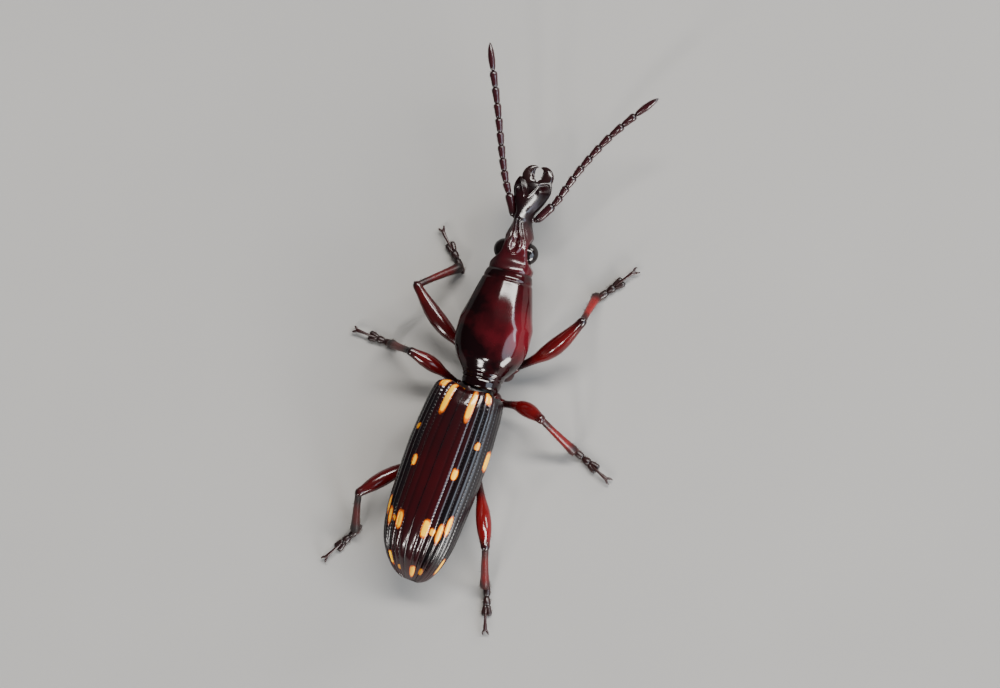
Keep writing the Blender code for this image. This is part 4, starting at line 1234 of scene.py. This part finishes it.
def head_matt(turn, part):
    """High on the left side, in the hollow of the snout and outside its flat."""
    angle, place, side, forward = head_station(turn, part)
    hollow = HOLLOW_MATT * ease(hollow_depth(side, forward), 0.06, 0.16) * ease(forward, 4.8, 5.2)
    outside = ease(np.abs(side) - curve_value(FLAT_SPREAD, forward), -0.02, 0.1)
    outside *= BESIDE_MATT + FRONT_MATT * ease(place, 5.25, 5.4)
    outside *= ease(forward, 3.7, 4.2) * (1 - ease(place, 5.93, 6.03))
    on_top = ease(np.cos(angle), 0.0, 0.3)
    return np.maximum(left_matt(turn, part), on_top * np.maximum(hollow, outside))


def make_head():
    head = rolled_form(
        "head_capsule", MESH["head"], head_points, shade=head_shade, polish=head_polish, matt=head_matt
    )
    mouth = round_form(
        "mouth_plate", MOUTH_PLATE_PLACE, MOUTH_PLATE_SIZE, MESH["mouth plate"], TONES["mouth plate"]
    )
    head = joined([head, mouth], "head_capsule")
    place_piece(head, HEAD, FINISH["head"], ["head"])
    for side, sign in SIDES:
        eye = round_form("eye_dome_" + side, (sign * EYE_SIDE, EYE_PLACE, EYE_LEVEL), EYE_SIZE, MESH["eye"])
        place_piece(eye, HEAD, FINISH["eye_" + side], ["eye_" + side])


def make_jaws():
    """Sickles spun from a disc along an arc, then thinned to a point, with teeth on the inside."""
    level = -HEAD_SLOPE * JAW_ARC_PLACE - JAW_DROP
    for side, sign in SIDES:
        centre = Vector((sign * JAW_ARC_SIDE[side], JAW_ARC_PLACE, level))
        start = centre + Vector((JAW_ARC_RADIUS, 0, 0))
        deselect_all()
        bpy.ops.mesh.primitive_circle_add(
            vertices=JAW_AROUND, radius=JAW_ROOT_RADIUS, fill_type="NGON", location=start,
            rotation=(math.pi / 2, 0, 0),
        )
        jaw = bpy.context.object
        bpy.ops.object.transform_apply()
        turn = JAW_END[side] - JAW_START
        with editing():
            bpy.ops.mesh.spin(steps=JAW_STEPS, angle=-turn, center=centre, axis=UP)
        points = points_of(jaw) - np.array(centre)
        bearing = np.arctan2(points[:, 1], points[:, 0])
        if bearing.max() < 0.1:
            bearing = -bearing
        part = np.clip(bearing / turn, 0, 1)
        reach = np.hypot(points[:, 0], points[:, 1]) - JAW_ARC_RADIUS
        thick = curve_value(JAW_THICKNESS, part)
        angle = JAW_START + part * turn
        radius = JAW_ARC_RADIUS + reach * thick
        height = points[:, 2] * thick * JAW_FLATNESS
        shaped = np.stack([sign * radius * np.cos(angle), radius * np.sin(angle), height], 1)
        set_points(jaw, shaped + np.array(centre))
        root_place = Vector((sign * (JAW_ARC_SIDE[side] + JAW_ROOT[0]), JAW_ARC_PLACE + JAW_ROOT[1], level))
        parts = [jaw, round_form("jaw_root", root_place, JAW_ROOT_SIZE, MESH["jaw root"])]
        for degrees, length in JAW_TEETH[side]:
            bearing = math.radians(degrees)
            outward = Vector((sign * math.cos(bearing), math.sin(bearing), 0))
            root = centre + outward * (JAW_ARC_RADIUS - TOOTH_INSET)
            lean = bearing + TOOTH_LEAN
            inward = Vector((-sign * math.cos(lean), -math.sin(lean), 0))
            whole = length + TOOTH_ROOT
            bpy.ops.mesh.primitive_cone_add(
                vertices=TOOTH_AROUND, radius1=TOOTH_RADIUS, radius2=TOOTH_TIP_RADIUS, depth=whole,
            )
            tooth = bpy.context.object
            tooth.matrix_world = direction_matrix(root + inward * whole / 2, inward)
            bpy.ops.object.transform_apply()
            parts.append(tooth)
        jaw = joined(parts, "jaw_" + side)
        mark_points(jaw, "shade", TONES["jaw"])
        with editing():
            bpy.ops.mesh.normals_make_consistent(inside=False)
        place_piece(jaw, HEAD, FINISH["beak"], ["mandible_" + side])


# Antennae

def feeler_points(side, sign):
    """Points every tenth of a millimetre along one feeler, from its socket."""
    count = int(sum(FEELER_JOINTS) / FEELER_STEP) + 4
    place = np.array((
        sign * FEELER_ROOT_SIDE, FEELER_ROOT_PLACE, -HEAD_SLOPE * FEELER_ROOT_PLACE - FEELER_ROOT_DROP
    ))
    points = [place]
    for i in range(count):
        heading = math.radians(float(curve_value(FEELER_HEADING[side], np.array(i * FEELER_STEP))))
        direction = np.array((sign * math.sin(heading), math.cos(heading), math.tan(FEELER_RISE)))
        place = place + unit(direction) * FEELER_STEP
        points.append(place)
    return np.array(points)


def bead_shade(fraction):
    """Dark at a bead's two ends."""
    return 0.25 + 0.55 * ease(np.abs(fraction - 0.5), 0.25, 0.5)


def make_feelers():
    rng = np.random.default_rng(11)
    for side, sign in SIDES:
        points = feeler_points(side, sign)
        steps = np.arange(len(points)) * FEELER_STEP

        def at(distance):
            distance = np.atleast_1d(distance)
            held = np.clip(distance, 0, steps[-1])
            centre = np.stack([np.interp(held, steps, points[:, axis]) for axis in range(3)], 1)
            first = points[1] - points[0]
            return centre + np.minimum(distance, 0)[:, None] * first / FEELER_STEP

        bristles = []
        for part, (first, last) in FEELER_PARTS.items():
            beads = []
            for joint in range(first, last):
                start = sum(FEELER_JOINTS[:joint])
                length = FEELER_JOINTS[joint]
                shape = FEELER_SCAPE if joint == 0 else FEELER_LAST if joint == 10 else FEELER_BEAD

                def path(fraction, start=start, length=length):
                    return at(start + fraction * length)

                beads.append(tube_form("bead", path, shape, MESH["bead"], bead_shade))
                bristles += limb_bristles(
                    rng, path, shape, FEELER_BRISTLES["other" if joint else "scape"], FEELER_BRISTLE_SPAN,
                    FEELER_BRISTLE_LEAN, (0.7, 0.5), 0.05 / length, 0.95,
                )
            if part == "scape":
                root = Vector(points[0])
                socket = Vector((sign * SOCKET_PLACE[0], SOCKET_PLACE[1], root.z))
                ball = socket.lerp(root, SCAPE_BALL_SHARE)
                for name, centre, size in (
                    ("scape ball", ball, SCAPE_BALL_SIZE), ("scape root", socket, SCAPE_ROOT_SIZE),
                ):
                    beads.append(round_form(name, centre, size, MESH["socket"], TONES[name]))
            feeler = joined(beads, "feeler_" + side + "_" + part)
            place_piece(feeler, HEAD, FINISH["feeler"], ["antenna_" + side + "_" + part])
        field = bristle_field(
            "feeler_bristles_" + side, bristles, FEELER_BRISTLE, TONES["feeler bristles"]
        )
        place_piece(field, HEAD, FINISH["bristle"])


# Legs

def heading_vector(degrees, sign, lift=0.0):
    heading, rise = math.radians(degrees), math.radians(lift)
    flat = math.cos(rise)
    return np.array((sign * math.sin(heading) * flat, math.cos(heading) * flat, math.sin(rise)))


def hip_place(name):
    """Middle of a hip ball, read from its solid, in the trunk's millimetres."""
    low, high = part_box(name + "_coxa")
    centre = TRUNK.inverted() @ Vector(((low.x + high.x) / 2, (low.y + high.y) / 2, high.z))
    return np.array(centre) - (0, 0, HIP_CUT)


def bowed_path(start, end, bow):
    line = end - start

    def at(fraction):
        fraction = np.atleast_1d(fraction)[:, None]
        return start + line * fraction + bow * np.sin(math.pi * np.clip(fraction, 0, 1))

    return at


def limb_bristles(rng, path, shape, count, span, lean, sizes=(0.6, 0.7), step=0.02, inset=0.96):
    """Bristles scattered over a limb: place, direction, size and spin of each."""
    roots = []
    for _ in range(count):
        t = span[0] + (span[1] - span[0]) * rng.random()
        centre = path(t)[0]
        ahead = unit(path(t + step)[0] - centre)
        out = unit(np.cross(ahead, rng.normal(size=3)))
        radius = float(curve_value(shape, np.array(t)))
        size, spin = sizes[0] + sizes[1] * rng.random(), rng.random() * BRISTLE_SPIN
        roots.append((centre + out * radius * inset, ahead + lean * out, size, spin))
    return roots


def end_shade(fraction, start, end, fade, middle):
    """Dark at a limb's two ends, and a clearer tone in its middle."""
    near = 1 - ease(fraction, start, start + fade)
    far = ease(fraction, end - fade, end)
    return middle + (LIMB_END_TONE - middle) * np.maximum(near, far)


def pad_shade(fraction):
    """Darker towards a pad's tip."""
    return PAD_TONE + PAD_TIP_TONE * ease(fraction, 0.6, 1.0)


def claw_shade(fraction):
    """Darker towards a claw's tip."""
    return np.interp(fraction, (0, 1), CLAW_TONES)


def make_foot(name, ankle, pose, sign, length):
    """Foot: two pads, a cleft third pad, a thin claw joint and two hooked claws."""
    forward = heading_vector(pose["foot"], sign)
    across = np.array((forward[1], -forward[0], 0.0))
    heel = np.array((ankle[0], ankle[1], 0.0)) - forward * FOOT_BACK
    local = axes_matrix(forward, across, UP, heel)
    parts = []
    for (root, root_side, root_level), (tip, tip_side, tip_level), shape in FOOT_PADS:
        for turn in (-1, 1) if root_side else (1,):
            path = bowed_path(
                np.array((root * length, turn * root_side, root_level)),
                np.array((tip * length, turn * tip_side, tip_level)), np.zeros(3),
            )
            pad = tube_form("pad", path, shape, MESH["pad"], pad_shade)
            points = points_of(pad)
            points[:, 2] = np.maximum(points[:, 2], SOLE_LEVEL)
            set_points(pad, points)
            parts.append(pad)

    def claw_joint(fraction):
        fraction = np.atleast_1d(fraction)
        stations, levels = np.array(CLAW_JOINT_PATH).T
        knots = np.linspace(0, 1, len(stations))
        x = np.interp(fraction, knots, stations) * length
        z = curve_value(np.stack([knots, levels], 1), fraction)
        return np.stack([x, np.zeros_like(x), z], 1)

    parts.append(tube_form(
        "claw_joint", claw_joint, CLAW_JOINT_SHAPE, MESH["claw joint"], lambda t: TONES["claw joint"]
    ))
    for turn in (-1, 1):

        def claw(fraction, turn=turn):
            fraction = np.atleast_1d(fraction)
            reach, spread, rise = (
                size * np.sin(fraction * bend) for size, bend in (CLAW_REACH, CLAW_SPREAD, CLAW_RISE)
            )
            x = CLAW_PLACE * length + reach
            y = turn * (CLAW_SIDE + spread)
            z = CLAW_LEVEL + rise - CLAW_HOOK * fraction**2
            return np.stack([x, y, z], 1)

        parts.append(tube_form("claw", claw, CLAW_SHAPE, MESH["claw"], claw_shade))
    foot = joined(parts, name)
    foot.data.transform(local)
    return foot, local


def foot_bristles(rng, local, length):
    """Short brush of bristles round the soles' edges and on top of the pads."""
    roots = []
    turn = local.to_3x3()
    for along, reach, half in BRUSHES:
        for _ in range(BRUSH_COUNT):
            angle = rng.random() * FULL_TURN
            z = BRUSH_LEVELS[0] + BRUSH_LEVELS[1] * rng.random()
            inset = BRUSH_INSET * math.sqrt(max(0.05, 1 - ((z - BRUSH_MIDDLE) / BRUSH_HEIGHT) ** 2))
            x = (along + reach * inset * math.cos(angle)) * length
            place = local @ Vector((x, half * inset * math.sin(angle), z))
            lean = (BRUSH_LEAN[0] + math.cos(angle), BRUSH_LEAN[1] * math.sin(angle), BRUSH_LEAN[2])
            size, spin = 0.6 + 0.6 * rng.random(), rng.random() * BRISTLE_SPIN
            roots.append((np.array(place), np.array(turn @ Vector(lean)), size, spin))
    return roots


def make_leg(pair, side, sign, rng):
    sizes, pose = LEGS[pair], POSES[(pair, side)]
    name = "leg_" + pair + "_" + side
    hip = hip_place(name)
    thigh = heading_vector(pose["thigh"], sign, pose["lift"])
    knee = hip + thigh * sizes["femur"]
    drop = knee[2] - ANKLE_LEVEL
    reach = math.sqrt(sizes["tibia"] ** 2 - drop**2)
    ankle = knee + heading_vector(pose["shin"], sign) * reach - (0, 0, drop)
    root = hip + thigh * TROCHANTER
    # The middle tones carry painted light on the right legs and painted shade on the left ones.
    thigh_tone, shin_tone = LEG_TONES_AND_PAINTED_LIGHT[(pair, side)]
    femur_shape = []
    for fraction, radius in FEMUR_SHAPE:
        swing = math.sin(math.pi * min(max(fraction, 0), 1))
        femur_shape.append((fraction + sizes["club"] * swing, radius * (1 + (sizes["girth"] - 1) * swing)))
    dark_base = FEMUR_DARK[0] + sizes["club"]
    trochanter_path = bowed_path(*(hip + thigh * share for share in TROCHANTER_SPAN), np.zeros(3))
    femur_path = bowed_path(root, knee, heading_vector(pose["thigh"] + 90, sign) * pose["bow"])
    tibia_path = bowed_path(knee, ankle, np.array((0, 0, TIBIA_BOW)))
    thigh_parts = [
        round_form("hip", hip + (0, 0, HIP_RISE), HIP_SIZE, MESH["hip"], TONES["hip"]),
        tube_form(
            "trochanter", trochanter_path, TROCHANTER_SHAPE, MESH["trochanter"],
            lambda t: TONES["trochanter"],
        ),
        tube_form(
            "femur", femur_path, femur_shape, MESH["femur"],
            lambda t: end_shade(t, dark_base, *FEMUR_DARK[1:], thigh_tone),
        ),
    ]
    shin_parts = [
        tube_form(
            "tibia", tibia_path, TIBIA_SHAPE, MESH["tibia"], lambda t: end_shade(t, *TIBIA_DARK, shin_tone)
        ),
    ]
    shin = unit(ankle - knee)
    beside = unit(np.cross(shin, UP))
    for turn in (-1, 1):
        spur_root = ankle + beside * turn * SPUR_ROOT[1] + shin * SPUR_ROOT[0]
        tip = spur_root + shin * SPUR_LENGTH[0] + beside * turn * SPUR_LENGTH[1]
        spur_path = bowed_path(spur_root, tip, np.zeros(3))
        shin_parts.append(tube_form("spur", spur_path, SPUR_SHAPE, MESH["spur"], lambda t: TONES["spur"]))
    thigh_piece = joined(thigh_parts, "thigh_" + pair + "_" + side)
    place_piece(thigh_piece, TRUNK, FINISH["leg"], [name + "_coxa", name + "_femur"])
    shin_piece = joined(shin_parts, "shin_" + pair + "_" + side)
    place_piece(shin_piece, TRUNK, FINISH["shin"], [name + "_tibia"])
    foot, local = make_foot("foot_" + pair + "_" + side, ankle, pose, sign, sizes["tarsus"])
    place_piece(foot, TRUNK, FINISH["foot"], [name + "_tarsus"])
    roots = limb_bristles(rng, femur_path, femur_shape, *FEMUR_BRISTLES)
    for bristles in TIBIA_BRISTLES:
        roots += limb_bristles(rng, tibia_path, TIBIA_SHAPE, *bristles)
    roots += foot_bristles(rng, local, sizes["tarsus"])
    field = bristle_field(
        "limb_bristles_" + pair + "_" + side, roots, LIMB_BRISTLE, TONES["limb bristles"], SOLE_LEVEL
    )
    place_piece(field, TRUNK, FINISH["bristle"])


def make_legs():
    rng = np.random.default_rng(5)
    for pair in LEGS:
        for side, sign in SIDES:
            make_leg(pair, side, sign, rng)


# Floor, light and camera

def make_floor():
    deselect_all()
    bpy.ops.mesh.primitive_circle_add(vertices=96, radius=FLOOR_RADIUS, fill_type="NGON")
    floor = bpy.context.object
    floor.name = "studio_floor"
    material, tree, shader = new_material("pale studio floor")
    noise = noise_node(tree, place_node(tree), FLOOR_NOISE, 4.0)
    tree.links.new(mix_node(tree, noise, *FLOOR_TONES), shader.inputs["Base Color"])
    shader.inputs["Roughness"].default_value = FLOOR_ROUGHNESS
    floor.data.materials.append(material)


def toward(azimuth, elevation):
    """Direction with its azimuth counted from straight ahead towards the beetle's right."""
    turn, rise = math.radians(azimuth), math.radians(elevation)
    return Vector((math.sin(turn) * math.cos(rise), math.cos(turn) * math.cos(rise), math.sin(rise)))


def add_strip(name, shape, start, end, width, brightness, colour):
    """Long soft light that faces the beetle and spans two directions, at a set brightness."""
    first, last = toward(*start), toward(*end)
    away = (first + last).normalized()
    along = (last - first).normalized()
    up = away.cross(along).normalized()
    data = bpy.data.lights.new(name, "AREA")
    data.shape = shape
    data.size = 2 * LIGHT_DISTANCE * MM * math.tan(first.angle(last) / 2)
    data.size_y = 2 * LIGHT_DISTANCE * MM * math.tan(math.radians(width) / 2)
    data.energy = math.pi * data.size * data.size_y * brightness
    data.color = colour
    light = bpy.data.objects.new(name, data)
    light.visible_camera = False
    bpy.context.scene.collection.objects.link(light)
    place = TRUNK @ Vector(LIGHT_AIM) + away * LIGHT_DISTANCE * MM
    light.matrix_world = axes_matrix(along, up, away, place)


def make_lights():
    for name, light in LIGHTS.items():
        add_strip(name, *light)
    world = bpy.data.worlds.new("studio air")
    bpy.context.scene.world = world
    world.use_nodes = True
    background = world.node_tree.nodes["Background"]
    background.inputs["Color"].default_value = (*AIR_COLOUR, 1)
    background.inputs["Strength"].default_value = AIR_BRIGHTNESS


def make_camera():
    tilt, roll = CAMERA_TILT, CAMERA_ROLL
    view = Vector((-math.sin(tilt), 0, -math.cos(tilt)))
    level = Vector((math.cos(tilt), 0, -math.sin(tilt)))
    ahead = Vector((0, 1, 0))
    right = level * math.cos(roll) + ahead * math.sin(roll)
    up = ahead * math.cos(roll) - level * math.sin(roll)
    target = Vector(CAMERA_AIM) + right * CAMERA_SLIDE[0] + up * CAMERA_SLIDE[1]
    place = TRUNK @ (target - view * CAMERA_DISTANCE)
    data = bpy.data.cameras.new("camera")
    data.sensor_width = SENSOR_WIDTH
    data.lens = SENSOR_WIDTH * CAMERA_DISTANCE / FIELD_WIDTH
    data.clip_start = 0.005
    data.clip_end = 10
    camera = bpy.data.objects.new("camera", data)
    bpy.context.scene.collection.objects.link(camera)
    camera.matrix_world = axes_matrix(right, up, -view, place)
    bpy.context.scene.camera = camera


make_camera()
make_floor()
make_lights()
make_wing_cases()
make_trunk()
make_thorax()
make_head()
make_jaws()
make_feelers()
make_legs()
